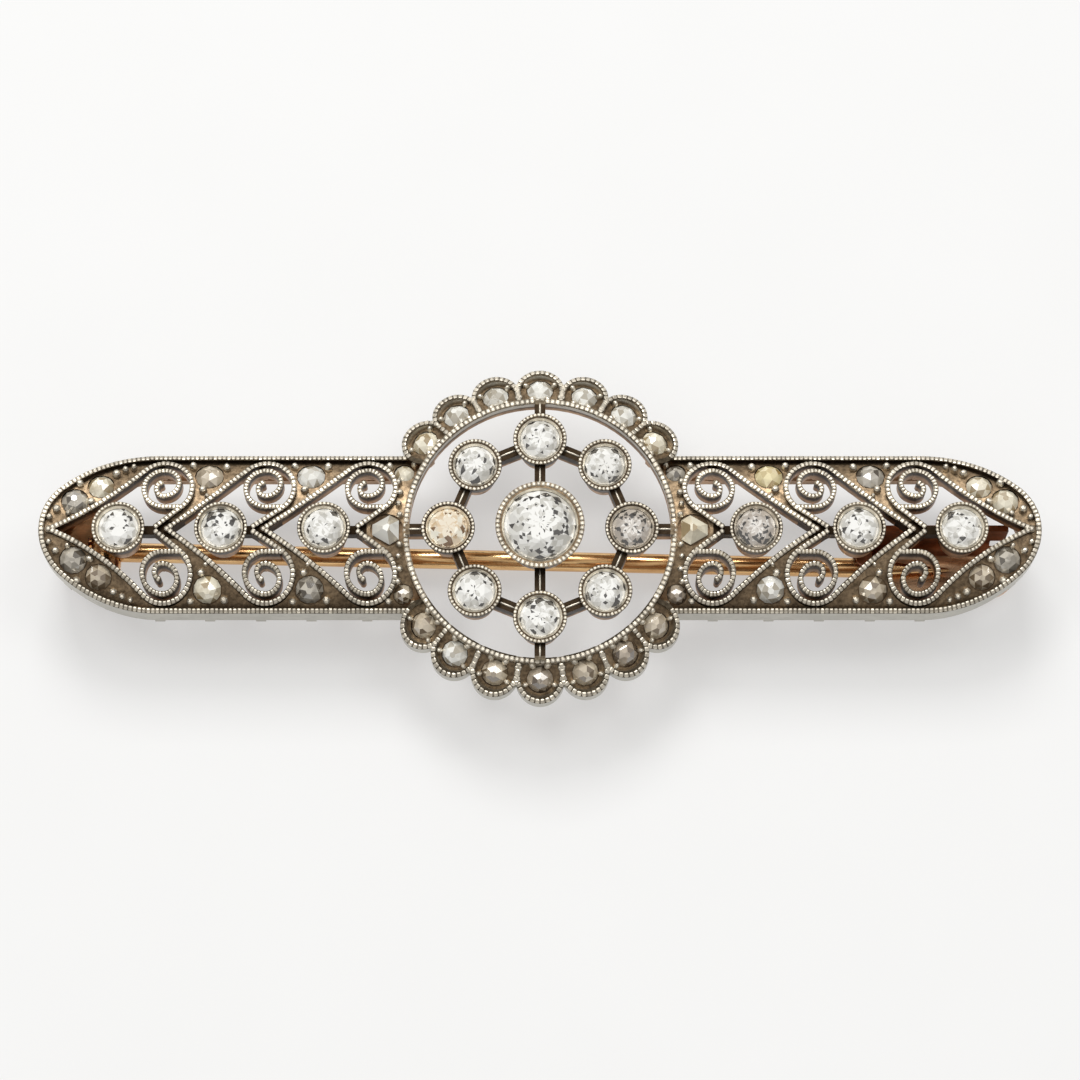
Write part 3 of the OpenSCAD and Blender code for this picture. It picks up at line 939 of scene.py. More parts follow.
@dataclass(frozen=True)
class SilverFinish:
    """Oxidised silver: bright where it is rubbed, brown and dull in the recesses, with painted
    shade.

    Attributes:
        name: The material's name.
        bright: Colour of the rubbed tops.
        plate: Colour of the sunk plate between the lines.
        deep: Dark colour of oxide and stains, and of the painted shade in recesses, on walls and
            links.
        backing: Colour of the thin gold backing: the lower walls and the underside.
        rubbed: Colour of the outer walls.
        roughness: Roughness of the tops.
        beads: True on beads and grains, which carry a tone of their own.
        cloud_scales: Waves a metre of the broad stains and of the fine ones.
        speck_scale: Waves a metre of the specks on the plate.
        mark_scale: Waves a metre of the scratches.
        sunk_h: Depths at which the tops end and the plate starts.
        oxide_and_shade_h: Depths between which oxide and painted shade set in.
        oxide_and_shade: Share of oxide and painted shade below them.
        speck_dirt: Share of grime in the specks.
        wall_shade: Share of painted shade on upright walls.
        stain: How strongly the stains show on the openwork.
        rubbed_stain: Share of them that is left on rubbed walls.
        bead_stain: How strongly they show on beads.
        bead_dirt: Share of grime on the darkest beads.
        dull: Roughness that the stains add.
        worn: Roughness that the scratches add.
        pitted: Height of the fine stains' relief, as a share of the scratches'.
        relief: How strongly the relief shows.
    """

    name: str
    bright: Colour = (0.22, 0.18, 0.125, 1.0)
    plate: Colour = (0.40, 0.29, 0.18, 1.0)
    deep: Colour = (0.022, 0.014, 0.008, 1.0)
    backing: Colour = (0.62, 0.38, 0.21, 1.0)
    rubbed: Colour = (0.58, 0.56, 0.50, 1.0)
    roughness: float = 0.3
    beads: bool = False
    cloud_scales: Pair = (420.0, 2100.0)
    speck_scale: float = 5200.0
    mark_scale: float = 2600.0
    sunk_h: Pair = (0.04, 0.26)
    oxide_and_shade_h: Pair = (0.3, 0.9)
    oxide_and_shade: float = 0.93
    speck_dirt: float = 0.6
    wall_shade: float = 0.8
    stain: float = 0.6
    rubbed_stain: float = 0.25
    bead_stain: float = 0.35
    bead_dirt: float = 0.5
    dull: float = 0.25
    worn: float = 0.1
    pitted: float = 0.6
    relief: float = 0.4

    def openwork(self, palette: Palette, g: Graph, clouds: Socket) -> tuple[Socket, Socket]:
        """Colours the openwork by its depth, with painted shade in the recesses, on walls and on
        the links.

        Args:
            palette: The shared groups.
            g: Graph of the material.
            clouds: The stains at full strength.

        Returns:
            The colour below the stains, and the stains.
        """
        masks = palette.place(g, palette.depth)
        specks = palette.stain(g, self.speck_scale)
        # Specks are stains; walls, depth and links take painted shade, and depth also oxide in
        # recesses.
        layers = (
            (g.product(specks, self.speck_dirt), self.deep),
            (g.product(masks["Side"], self.wall_shade), self.deep),
            (g.span(masks["Depth"], *self.oxide_and_shade_h, 0.0, self.oxide_and_shade), self.deep),
            (masks["Backing"], self.backing),
            (masks["Link"], self.deep),
            (masks["Rubbed"], self.rubbed),
        )
        colour = g.mix(g.span(masks["Depth"], *self.sunk_h), self.bright, self.plate)
        for share, layer in layers:
            colour = g.mix(share, colour, layer)
        left = g.span(masks["Rubbed"], 0.0, 1.0, 1.0, self.rubbed_stain)
        return colour, g.product(clouds, self.stain, left)

    def beadwork(self, g: Graph, clouds: Socket) -> tuple[Socket, Socket]:
        """Colours beads and grains by their own tone.

        Args:
            g: Graph of the material.
            clouds: The stains at full strength.

        Returns:
            The colour below the stains, and the stains.
        """
        tone = g.add("Attribute", attribute_name=TONE).outputs["Fac"]
        shade = g.span(tone, 0.0, 1.0, self.bead_dirt, 0.0)
        return g.mix(shade, self.bright, self.deep), g.product(clouds, self.bead_stain)

    def material(self, palette: Palette) -> bpy.types.Material:
        """Builds the material.

        Args:
            palette: The shared groups.

        Returns:
            The material.
        """
        material, g, shader = palette.start(self.name)
        broad, fine = (palette.stain(g, scale) for scale in self.cloud_scales)
        mark = palette.mark(g, self.mark_scale)
        clouds = g.math("MAXIMUM", broad, fine)
        if self.beads:
            colour, stain = self.beadwork(g, clouds)
        else:
            colour, stain = self.openwork(palette, g, clouds)
        g.feed(shader.inputs["Base Color"], g.mix(stain, colour, self.deep))
        shader.inputs["Metallic"].default_value = 1.0
        rough = g.math("MULTIPLY_ADD", stain, self.dull, self.roughness)
        g.feed(shader.inputs["Roughness"], g.math("MULTIPLY_ADD", mark, self.worn, rough))
        palette.bump(g, shader, g.math("MULTIPLY_ADD", fine, self.pitted, mark), self.relief)
        return material


@dataclass(frozen=True)
class GoldFinish:
    """Polished yellow gold with long fine scratches, and brown painted shade at some heights.

    Attributes:
        name: The material's name.
        colour: Clean gold.
        smear: Gold under wear.
        painted_shade: Brown colour of the painted shade, for the dark reflections and shadow.
        shade_spot: Colour of the dark spots in it.
        shade_heights: Lowest and highest Z of the painted shade, in millimetres.
        shade_edge: Half the height over which the painted shade sets in.
        roughness: Roughness where it is clean.
        stain_scale: Waves a metre of the worn patches.
        spot_scale: Waves a metre of the spots in the painted shade.
        mark_scale: Waves a metre of the scratches.
        streak: Range of the scratches that show as streaks.
        smears: Shares of worn gold in the patches and in the streaks.
        spotty: Share of dark spots in the painted shade.
        dull: Roughness that the streaks and the painted shade add.
        pitted: Height of the spots' relief, as a share of the scratches'.
        relief: How strongly the relief shows.
    """

    name: str
    colour: Colour = (1.0, 0.68, 0.34, 1.0)
    smear: Colour = (0.56, 0.26, 0.09, 1.0)
    painted_shade: Colour = (0.30, 0.105, 0.045, 1.0)
    shade_spot: Colour = (0.05, 0.018, 0.01, 1.0)
    shade_heights: Pair = (-2.0, -1.0)
    shade_edge: float = 0.04
    roughness: float = 0.17
    stain_scale: float = 260.0
    spot_scale: float = 1100.0
    mark_scale: float = 3200.0
    streak: Pair = (0.4, 0.62)
    smears: Pair = (0.45, 0.5)
    spotty: float = 0.75
    dull: Pair = (0.12, 0.2)
    pitted: float = 0.4
    relief: float = 0.3

    def shade_mask(self, g: Graph) -> Socket:
        """Finds the heights that the painted shade covers.

        Args:
            g: Graph of the material.

        Returns:
            The output, which is 1 at those heights.
        """
        z = g.parts(g.place())[2]
        low, high = (height * MM for height in self.shade_heights)
        edge = self.shade_edge * MM
        return g.product(g.span(z, low - edge, low + edge), g.span(z, high + edge, high - edge))

    def material(self, palette: Palette) -> bpy.types.Material:
        """Builds the material.

        Args:
            palette: The shared groups.

        Returns:
            The material.
        """
        material, g, shader = palette.start(self.name)
        patches = palette.stain(g, self.stain_scale)
        spots = palette.stain(g, self.spot_scale)
        mark = palette.mark(g, self.mark_scale)
        streak = g.span(mark, *self.streak)
        colour = self.colour
        for worn, share in zip((patches, streak), self.smears):
            colour = g.mix(g.product(worn, share), colour, self.smear)
        # Painted shade: a brown band at the given heights stands for dark reflections and shadow.
        painted_shade = self.shade_mask(g)
        brown = g.mix(g.product(spots, self.spotty), self.painted_shade, self.shade_spot)
        g.feed(shader.inputs["Base Color"], g.mix(painted_shade, colour, brown))
        shader.inputs["Metallic"].default_value = 1.0
        rough = g.math("MULTIPLY_ADD", streak, self.dull[0], self.roughness)
        g.feed(shader.inputs["Roughness"], g.math("MULTIPLY_ADD", painted_shade, self.dull[1], rough))
        palette.bump(g, shader, g.math("MULTIPLY_ADD", spots, self.pitted, mark), self.relief)
        return material


@dataclass(frozen=True)
class Reflections:
    """One family of the painted reflections in an old-cut stone.

    Attributes:
        spokes: Spokes in a turn.
        twist: How far the spirals turn between the middle and the girdle.
        grey: How strongly the dim ones turn grey.
        black: Share of the dim ones that are black.
    """

    spokes: float
    twist: float
    grey: float = 0.0
    black: float = 0.0


@dataclass(frozen=True)
class StoneFinish:
    """An old-cut diamond: white, with small grey and black painted reflections of its back facets.

    Attributes:
        name: The material's name.
        middle: X and Y of the stone's middle, in metres.
        radius: The stone's radius, in metres.
        light: Colour of most of it.
        grey: Colour of its painted half-dark reflections.
        dark: Colour of its painted darkest reflections.
        dim: Share of the painted reflections near the girdle that are not bright.
        middle_dim: The same in the middle, as a share of that.
        girdle: Where that share starts to rise and is reached, as shares of the radius.
        facet_grey: How grey the painted reflection on the darkest facets is.
        clear: How much of the light goes through, from 0 to 1.
        cloud_scale: Waves a metre of the uneven polish.
        roughness: Roughness where the polish is best and where it is worst.
        large_r: Radius in millimetres above which a stone has finer reflections.
        seed: Sets which of the reflections are dark.
    """

    name: str
    middle: Point
    radius: float
    light: Colour = (1.0, 0.995, 0.955, 1.0)
    grey: Colour = (0.46, 0.44, 0.38, 1.0)
    dark: Colour = (0.055, 0.05, 0.045, 1.0)
    dim: float = 0.42
    middle_dim: float = 0.3
    girdle: Pair = (0.15, 0.85)
    facet_grey: float = 0.35
    clear: float = 0.12
    cloud_scale: float = 900.0
    roughness: Pair = (0.01, 0.08)
    large_r: float = 1.6
    seed: float = 0.0

    def families(self) -> tuple[Reflections, ...]:
        """Lists the reflections, which are finer in a large stone.

        Returns:
            The families, from the broadest to the finest.
        """
        k = 1.0 if self.radius > self.large_r * MM else 0.6
        return (
            Reflections(8.0, 2.6, grey=0.35),
            Reflections(round(16.0 * k), 6.0 * k, grey=0.6, black=0.2),
            Reflections(round(24.0 * k), 11.0 * k, black=0.2),
        )

    def material(self, palette: Palette) -> bpy.types.Material:
        """Builds the material.

        Args:
            palette: The shared groups.

        Returns:
            The material.
        """
        material, g, shader = palette.start(self.name)
        # Painted reflections: each facet and each kite is made grey or black in the colour.
        facet = palette.place(g, palette.facets, Seed=self.seed)["Tone"]
        dull = g.span(facet, 0.25, 0.0, 0.0, self.facet_grey)
        colour = g.mix(dull, self.light, self.grey)
        spot = {"X": self.middle[0], "Y": self.middle[1], "Radius": self.radius, "Seed": self.seed}
        for rays in self.families():
            field = palette.place(g, palette.glitter, Count=rays.spokes, Twist=rays.twist, **spot)
            dim = g.span(field["Away"], *self.girdle, self.dim * self.middle_dim, self.dim)
            if rays.grey:
                grey = g.less(field["Tone"], dim)
                colour = g.mix(g.product(grey, rays.grey), colour, self.grey)
            if rays.black:
                black = g.less(field["Tone"], g.product(dim, rays.black))
                colour = g.mix(black, colour, self.dark)
        g.feed(shader.inputs["Base Color"], colour)
        cloud = g.noise(self.cloud_scale, detail=3.0)
        palette.polish(g, shader, cloud, self.roughness, self.clear)
        return material


class RoseTint(Enum):
    """Tints of the rose-cut stones: their bright facets, and their painted dark reflections and
    clouds.
    """

    WHITE = ((1.0, 0.99, 0.92, 1.0), (0.44, 0.39, 0.30, 1.0))
    CREAM = ((1.0, 0.93, 0.74, 1.0), (0.42, 0.32, 0.18, 1.0))
    YELLOW = ((1.0, 0.88, 0.52, 1.0), (0.42, 0.28, 0.10, 1.0))
    TAN = ((0.70, 0.60, 0.45, 1.0), (0.19, 0.135, 0.08, 1.0))
    GREY = ((0.60, 0.55, 0.46, 1.0), (0.12, 0.10, 0.075, 1.0))
    BROWN = ((0.54, 0.45, 0.34, 1.0), (0.12, 0.085, 0.055, 1.0))


@dataclass(frozen=True)
class RoseFinish:
    """Rose-cut stones over a dark seat, each with its own tint and painted dark reflections.

    Attributes:
        name: The material's name.
        upper: Tints of the stones above the middle line, from left to right.
        lower: Tints of those below it, from left to right.
        edges: X between one stone and the next, in millimetres.
        clear: How much of the light goes through, from 0 to 1.
        cloud_scale: Waves a metre of the stones' clouds.
        cloudy: How dark the clouds are.
        roughness: Roughness where the polish is best and where it is worst.
        seed: Sets which facets are bright and which carry painted dark reflections.
    """

    name: str
    upper: tuple[RoseTint, ...]
    lower: tuple[RoseTint, ...] = ()
    edges: tuple[float, ...] = ()
    clear: float = 0.15
    cloud_scale: float = 1500.0
    cloudy: float = 0.5
    roughness: Pair = (0.03, 0.16)
    seed: float = 2.0

    def row(self, g: Graph, x: Socket, tints: Sequence[RoseTint], shade: int) -> object:
        """Chooses one shade of each stone of a row by its place along the bar.

        Args:
            g: Graph of the material.
            x: Distance along the bar, in metres.
            tints: Tints of the row, from left to right.
            shade: 0 for the bright facets and 1 for the dark ones.

        Returns:
            The colour, plain where the row has one stone, or the output that gives it.
        """
        colour: object = tints[0].value[shade]
        for edge, tint in zip(self.edges, tints[1:]):
            colour = g.mix(g.more(x, edge * MM), colour, tint.value[shade])
        return colour

    def material(self, palette: Palette) -> bpy.types.Material:
        """Builds the material.

        Args:
            palette: The shared groups.

        Returns:
            The material.
        """
        material, g, shader = palette.start(self.name)
        tone = palette.place(g, palette.facets, Seed=self.seed)["Tone"]
        cloud = g.noise(self.cloud_scale, detail=4.0)
        x, y, _ = g.parts(g.place())
        shades = [self.row(g, x, self.upper, k) for k in (0, 1)]
        if self.lower:
            under = g.less(y, 0.0)
            shades = [g.mix(under, shades[k], self.row(g, x, self.lower, k)) for k in (0, 1)]
        # Painted reflections: facets of low tone take the dark shade; the clouds darken it too.
        dark_facet = g.span(tone, 0.55, 0.1)
        dark_facets_and_clouds = g.math("MAXIMUM", dark_facet, g.span(cloud, 0.5, 0.7, 0.0, self.cloudy))
        g.feed(shader.inputs["Base Color"], g.mix(dark_facets_and_clouds, *shades))
        palette.polish(g, shader, cloud, self.roughness, self.clear)
        return material


@dataclass(frozen=True)
class Spread:
    """How the copies of a pellet differ from one another in height and tone.

    Attributes:
        height: Their usual height.
        heights: Lowest and highest, as shares of it.
        tones: Darkest and brightest tone.
        sunk: How far their feet lie below the face.
    """

    height: float = 0.09
    heights: Pair = (0.75, 1.2)
    tones: Pair = (0.35, 1.0)
    sunk: float = 0.02

    def set(
        self, face: tuple[Vector, Vector], along: Vector, half: Pair, dice: np.random.Generator
    ) -> Setting:
        """Sets one copy.

        Args:
            face: A point of the face and the normal there.
            along: Direction of the copy's length.
            half: Half its length and half its width.
            dice: Source of its height and then of its tone.

        Returns:
            Its setting.
        """
        spot, up = face
        size = (*half, self.height * dice.uniform(*self.heights))
        return Setting(spot - up * self.sunk, along, up, size, dice.uniform(*self.tones))


@dataclass(frozen=True)
class Heart:
    """One heart of the bar.

    Attributes:
        apex: X of its pointed end.
        lobe: X of its lobes' centres.
        cleft: X of its cleft.
        side_r: Radius of its sides.
    """

    apex: float
    lobe: float
    cleft: float
    side_r: float


class SilverWork:
    """A sub-assembly of new silver pieces on the brooch."""

    def dress(self, pieces: Sequence[bpy.types.Object], metal: bpy.types.Material) -> None:
        """Gives the pieces their metal.

        Args:
            pieces: The sub-assembly's pieces.
            metal: Their finish.
        """
        for piece in pieces:
            Bench.finish(piece, metal, Body.BROOCH, Slot.SILVER)


@dataclass
class BarArm(SilverWork):
    """Beads and grains of one arm of the bar.

    Attributes:
        side: Which arm.
        camber: The bar's face.
        hearts: Its hearts, from the tip inwards.
        outline: The bar's outline.
        arm_start: Where the rim comes out from under the ring.
        lobe_y: Distance of a lobe's centre from the middle line.
        lobe_r: Radius of a lobe.
        cleft_y: Distance from the middle line to the end of a cleft line.
        volute_y: Centre of a volute's first arc.
        volute_r: Radii of a volute's three arcs.
        volute_end: Bearing at which a volute ends, in degrees.
        rim_w: Width of the rim.
        rim_pitch: Distance between beads of the rim.
        heart_pitch: Distance between beads of a heart.
        volute_pitch: Distance between beads of a volute.
        bead_widths: Widths of the beads of the rim, the hearts and the volutes.
        bead_fill: Half a bead's length as a share of the distance between beads.
        bead_play: Smallest and largest share of a bead's width.
        milgrain: How the beads differ.
        grain_long: Half a grain's length, as a share of its radius.
        grain_play: Smallest and largest half width, as shares of its radius.
        grain_turn: How far the grains turn along the bar, in radians a millimetre.
        graining: How the grains differ.
    """

    side: Side
    camber: Camber
    hearts: tuple[Heart, ...] = (
        Heart(27.0, 20.72, 21.1, 16.0),
        Heart(20.5, 15.1, 15.76, 36.0),
        Heart(15.2, 9.5, 10.0, 36.0),
    )
    outline: Outline = Outline()
    arm_start: float = 6.25
    lobe_y: float = 2.45
    lobe_r: float = 1.54
    cleft_y: float = 0.15
    volute_y: float = 2.4
    volute_r: tuple[float, float, float] = (1.12, 0.8, 0.44)
    volute_end: float = 60.0
    rim_w: float = 0.28
    rim_pitch: float = 0.25
    heart_pitch: float = 0.245
    volute_pitch: float = 0.2
    bead_widths: tuple[float, float, float] = (0.27, 0.26, 0.25)
    bead_fill: float = 0.44
    bead_play: Pair = (0.9, 1.05)
    milgrain: Spread = Spread()
    grain_long: float = 1.12
    grain_play: Pair = (0.95, 1.12)
    grain_turn: float = 9.0
    graining: Spread = Spread(0.45, (0.9, 1.1), (0.8, 1.0), 0.33)

    def rim_route(self) -> Route:
        """Finds the middle of the rim.

        Returns:
            The route from the ring round the tip to the middle line.
        """
        edge = self.outline
        inset = self.rim_w / 2
        route = Route([(self.arm_start, edge.half_width - inset)])
        route.arc((edge.shoulder_x, edge.wide_y), edge.wide_r - inset, 90.0, edge.meeting)
        return route.arc((edge.nose_x, 0.0), edge.nose_r - inset, edge.meeting, 0.0)

    def lobe_end(self, heart: Heart) -> float:
        """Finds where a lobe's arc meets the straight cleft line.

        Args:
            heart: The lobe's heart.

        Returns:
            The bearing from the lobe's centre, in degrees.
        """
        away = (heart.lobe - heart.cleft, self.lobe_y - self.cleft_y)
        spread = math.asin(self.lobe_r / math.hypot(*away))
        return math.degrees(math.atan2(away[1], away[0]) + spread) + 90.0

    def heart_route(self, heart: Heart) -> Route:
        """Finds the upper half of a heart's line.

        Args:
            heart: The heart.

        Returns:
            The route from its pointed end to its cleft.
        """
        away = (heart.lobe - heart.apex, self.lobe_y)
        reach = math.hypot(*away)
        r = heart.side_r
        turn = math.acos((r ** 2 + reach ** 2 - (r + self.lobe_r) ** 2) / (2 * r * reach))
        aim = math.atan2(away[1], away[0]) - turn
        side = (heart.apex + r * math.cos(aim), r * math.sin(aim))
        start = math.degrees(math.atan2(side[1] - self.lobe_y, side[0] - heart.lobe))
        route = Route().arc(side, r, math.degrees(aim) + 180.0, start + 180.0)
        route.arc((heart.lobe, self.lobe_y), self.lobe_r, start, self.lobe_end(heart))
        return route.line((heart.cleft, self.cleft_y))

    def volute_route(self, heart: Heart) -> Route:
        """Finds a volute's line.

        Args:
            heart: The heart that it curls in.

        Returns:
            The route from the cleft line to the curl's end.
        """
        turn = math.radians(self.lobe_end(heart))
        root = (heart.lobe + self.lobe_r * math.cos(turn), self.volute_y - self.volute_r[0])
        a, b, c = self.volute_r
        second = self.volute_y + a - b
        third = second - b + c
        route = Route([root]).arc((heart.lobe, self.volute_y), a, -90.0, 90.0)
        route.arc((heart.lobe, second), b, 90.0, 270.0)
        return route.arc((heart.lobe, third), c, -90.0, self.volute_end)

    def beads(
        self, routes: Iterable[Route], pitch: float, width: float, dice: np.random.Generator
    ) -> list[Setting]:
        """Lays beads along routes on the face, above and below the middle line.

        Args:
            routes: Routes of the right arm's upper half.
            pitch: Distance between beads.
            width: Width of a bead.
            dice: Source of the small differences between beads.

        Returns:
            A setting for each bead.
        """
        settings = []
        for route in routes:
            for flip in (1, -1):
                for (x, y), (dx, dy) in route.turned(self.side.value, flip).spaced(pitch):
                    half = (pitch * self.bead_fill, width / 2 * dice.uniform(*self.bead_play))
                    face = self.camber.place(x, y)
                    settings.append(self.milgrain.set(face, Vector((dx, dy, 0.0)), half, dice))
        return settings

    def grains(self, dice: np.random.Generator) -> list[Setting]:
        """Places the grains round the small stones of the plate.

        Args:
            dice: Source of the small differences between grains.

        Returns:
            A setting for each grain.
        """
        charted = (
            # X, Y and radius of each grain of the right arm's upper half, from the tip inwards
            (26.98, 0.72, 0.19), (26.6, 1.2, 0.22), (25.42, 2.82, 0.22), (24.72, 1.66, 0.21),
            (25.95, 0.93, 0.17), (23.42, 3.42, 0.22), (22.94, 3.66, 0.19), (22.48, 3.82, 0.17),
            (19.2, 3.92, 0.2), (17.34, 3.86, 0.22), (18.6, 2.4, 0.22), (18.35, 1.96, 0.15),
            (13.58, 3.92, 0.2), (11.72, 3.86, 0.22), (12.98, 2.4, 0.22), (12.75, 1.96, 0.15),
            (8.32, 3.9, 0.2), (6.95, 4.02, 0.17), (7.8, 2.86, 0.19), (7.72, 2.2, 0.19),
            (7.78, 1.5, 0.17), (9.52, 0.55, 0.13), (7.72, 0.86, 0.18),
        )
        settings = []
        for x, y, r in charted:
            turn = x * self.grain_turn
            heading = Vector((math.cos(turn), math.sin(turn), 0.0))
            for flip in (1, -1):
                face = self.camber.place(x * self.side.value, y * flip)
                half = (r * self.grain_long, r * dice.uniform(*self.grain_play))
                settings.append(self.graining.set(face, heading, half, dice))
        return settings

    def build(
        self, bead: Pellet, grain: Pellet, dice: np.random.Generator
    ) -> list[bpy.types.Object]:
        """Makes the arm's beads and grains.

        Args:
            bead: The milgrain bead.
            grain: The setter's grain.
            dice: Source of the small differences between them.

        Returns:
            The pieces.
        """
        word = self.side.name.lower()
        hearts = [self.heart_route(h) for h in self.hearts]
        volutes = [self.volute_route(h) for h in self.hearts]
        rim_w, heart_w, volute_w = self.bead_widths
        lines = (
            ("rim", [self.rim_route()], self.rim_pitch, rim_w),
            ("heart", hearts, self.heart_pitch, heart_w),
            ("volute", volutes, self.volute_pitch, volute_w),
        )
        pieces = []
        for line, routes, pitch, width in lines:
            beads = self.beads(routes, pitch, width, dice)
            pieces.append(Bench.strew(f"{line}_milgrain_{word}", bead, beads, smooth=False))
        pieces.append(Bench.strew(f"grains_{word}", grain, self.grains(dice), smooth=False))
        return pieces


@dataclass
class CentralRing(SilverWork):
    """Beads, grains and ridged bars of the ring and its scalloped border.

    Attributes:
        border: The ring and border.
        bearings: Bearings of the seven upper stones, in degrees from the top.
        stone_circle: Radius of the circle of small collets.
        collets: How many small collets there are.
        collet_r: Radius of a small collet.
        centre_r: Radius of the centre collet.
        tie_w: Width of a bar between collets.
        tie_top: Height of such a bar.
        tie_hold: Where its ridge starts, as a share of a small collet's radius.
        centre_hold: Where it starts, as a share of the centre collet's radius.
        ring_hold: How far inside the ring's middle line it ends.
        ridge_share: Half a ridge's width as a share of the bar's.
        ridge_h: Height of a ridge.
        ridge_tone: Tone of a ridge.
        notch_r: Radius at which the rib between two scallops starts.
        open_half: Half of a scallop's line, as a share of a half turn.
        open_steps: Steps in which that line is followed.
        open_play: How near a scallop's line comes to its neighbour's.
        bar_y: Distance from the middle line within which the bar covers the scallops.
        pitch: Distance between beads.
        bead_fill: Half a bead's length as a share of that distance.
        ring_bead_w: Width of the ring's beads.
        line_bead_w: Width of the beads of scallops and ribs.
        milgrain: How the beads differ.
        grain_chart: Bearing, distance and radius of each grain round a stone. The bearings are
            in degrees from the outward side.
        grain_long: Half a grain's length, as a share of its radius.
        graining: How the grains differ.
    """

    border: Border
    bearings: tuple[float, ...] = (-50.7, -34.5, -17.5, 0.0, 17.5, 34.5, 50.7)
    stone_circle: float = 5.05
    collets: int = 8
    collet_r: float = 1.48
    centre_r: float = 2.45
    tie_w: float = 0.6
    tie_top: float = 5.95
    tie_hold: float = 0.93
    centre_hold: float = 0.9
    ring_hold: float = 0.12
    ridge_share: float = 0.12
    ridge_h: float = 0.08
    ridge_tone: float = 0.5
    notch_r: float = 8.55
    open_half: float = 0.62
    open_steps: int = 60
    open_play: float = 0.02
    bar_y: float = 4.4
    pitch: float = 0.28
    bead_fill: float = 0.44
    ring_bead_w: float = 0.27
    line_bead_w: float = 0.25
    milgrain: Spread = Spread()
    grain_chart: tuple[tuple[float, float, float], ...] = (
        (150.0, 0.86, 0.2), (210.0, 0.86, 0.2), (74.0, 0.84, 0.15), (-74.0, 0.84, 0.15)
    )
    grain_long: float = 1.25
    graining: Spread = Spread(0.34, (0.9, 1.1), (0.6, 1.0), 0.3)

    def stone_bearings(self) -> list[float]:
        """Lists the bearings of all fourteen border stones, in degrees clockwise from the top."""
        return [b + half for half in (0.0, 180.0) for b in self.bearings]

    def laid(
        self, route: Route, width: float, dice: np.random.Generator, closed: bool = False
    ) -> list[Setting]:
        """Lays beads along a route on the border's face.

        Args:
            route: The route.
            width: Width of a bead.
            dice: Source of the small differences between beads.
            closed: True if the route ends where it starts.

        Returns:
            A setting for each bead.
        """
        half = (self.pitch * self.bead_fill, width / 2)
        return [
            self.milgrain.set(self.border.place(x, y), Vector((dx, dy, 0.0)), half, dice)
            for (x, y), (dx, dy) in route.spaced(self.pitch, closed)
        ]

    def scallop_routes(self) -> list[Route]:
        """Finds each scallop's line.

        Returns:
            The routes, each from where the scallop meets its neighbour to the next.
        """
        b = self.border
        circle = b.edge_r - b.scallop_r
        line_r = b.scallop_r - b.line_w / 2
        sweep = math.pi * self.open_half
        bearings = [math.radians(90.0 - t) for t in self.stone_bearings()]
        centres = [(circle * math.cos(a), circle * math.sin(a)) for a in bearings]
        routes = []
        for a, centre in zip(bearings, centres):
            others = [c for c in centres if c is not centre]
            route = Route()
            for k in range(self.open_steps + 1):
                t = a - sweep + 2 * sweep * k / self.open_steps
                p = (centre[0] + line_r * math.cos(t), centre[1] + line_r * math.sin(t))
                hidden = any(math.dist(p, o) < line_r - self.open_play for o in others)
                on_bar = abs(p[1]) < self.bar_y or math.hypot(*p) < b.ring_r + b.wall_play
                if not hidden and not on_bar:
                    route.points.append(p)
            if len(route.points) > 2:
                routes.append(route)
        return routes

    def rib_routes(self) -> list[Route]:
        """Finds the ribs between neighbouring scallops.

        Returns:
            The routes, each from the notch down to the ring.
        """
        ends = (self.notch_r, self.border.ring_r + self.pitch)
        routes = []
        for half in (0.0, 180.0):
            for first, second in zip(self.bearings, self.bearings[1:]):
                a = math.radians(90.0 - (first + second) / 2 - half)
                routes.append(Route([(r * math.cos(a), r * math.sin(a)) for r in ends]))
        return routes

    def grains(self, dice: np.random.Generator) -> list[Setting]:
        """Places the grains that hold the border's stones.

        Args:
            dice: Source of the small differences between grains.

        Returns:
            A setting for each grain.
        """
        settings = []
        for bearing in self.stone_bearings():
            a = math.radians(90.0 - bearing)
            stone = Vector((math.cos(a), math.sin(a), 0.0)) * self.border.stone_r
            for turn, away, r in self.grain_chart:
                t = a + math.radians(turn)
                across, up = math.cos(t), math.sin(t)
                face = self.border.place(stone.x + away * across, stone.y + away * up)
                half = (r * self.grain_long, r)
                heading = Vector((across, up, 0.0))
                settings.append(self.graining.set(face, heading, half, dice))
        return settings

    def tie_ends(self) -> list[tuple[Vector, Vector]]:
        """Finds the bars that show between collets, ring and centre.

        Returns:
            Both ends of each bar's ridge.
        """
        turns = [math.radians(90 - 360 / self.collets * i) for i in range(self.collets)]
        spots = [Vector((math.cos(t), math.sin(t), 0.0)) * self.stone_circle for t in turns]
        hold = self.collet_r * self.tie_hold
        ends = []
        for i, spot in enumerate(spots):
            after = spots[(i + 1) % self.collets]
            along = (after - spot).normalized()
            out = spot.normalized()
            ends.append((spot + along * hold, after - along * hold))
            on_cross = i % 2 == 0
            on_upright = i % 4 == 0
            if on_cross:
                ends.append((spot + out * hold, out * (self.border.ring_r - self.ring_hold)))
            if on_upright:
                ends.append((out * self.centre_r * self.centre_hold, spot - out * hold))
        return ends

    def ridges(self) -> list[Setting]:
        """Places the light ridge along the middle of each bar.

        Returns:
            A setting for each ridge.
        """
        sunk = 0.02
        settings = []
        for start, end in self.tie_ends():
            middle = (start + end) / 2
            run = end - start
            size = (run.length / 2, self.tie_w * self.ridge_share, self.ridge_h)
            spot = Vector((middle.x, middle.y, self.tie_top - sunk))
            settings.append(Setting(spot, run.normalized(), UP, size, self.ridge_tone))
        return settings

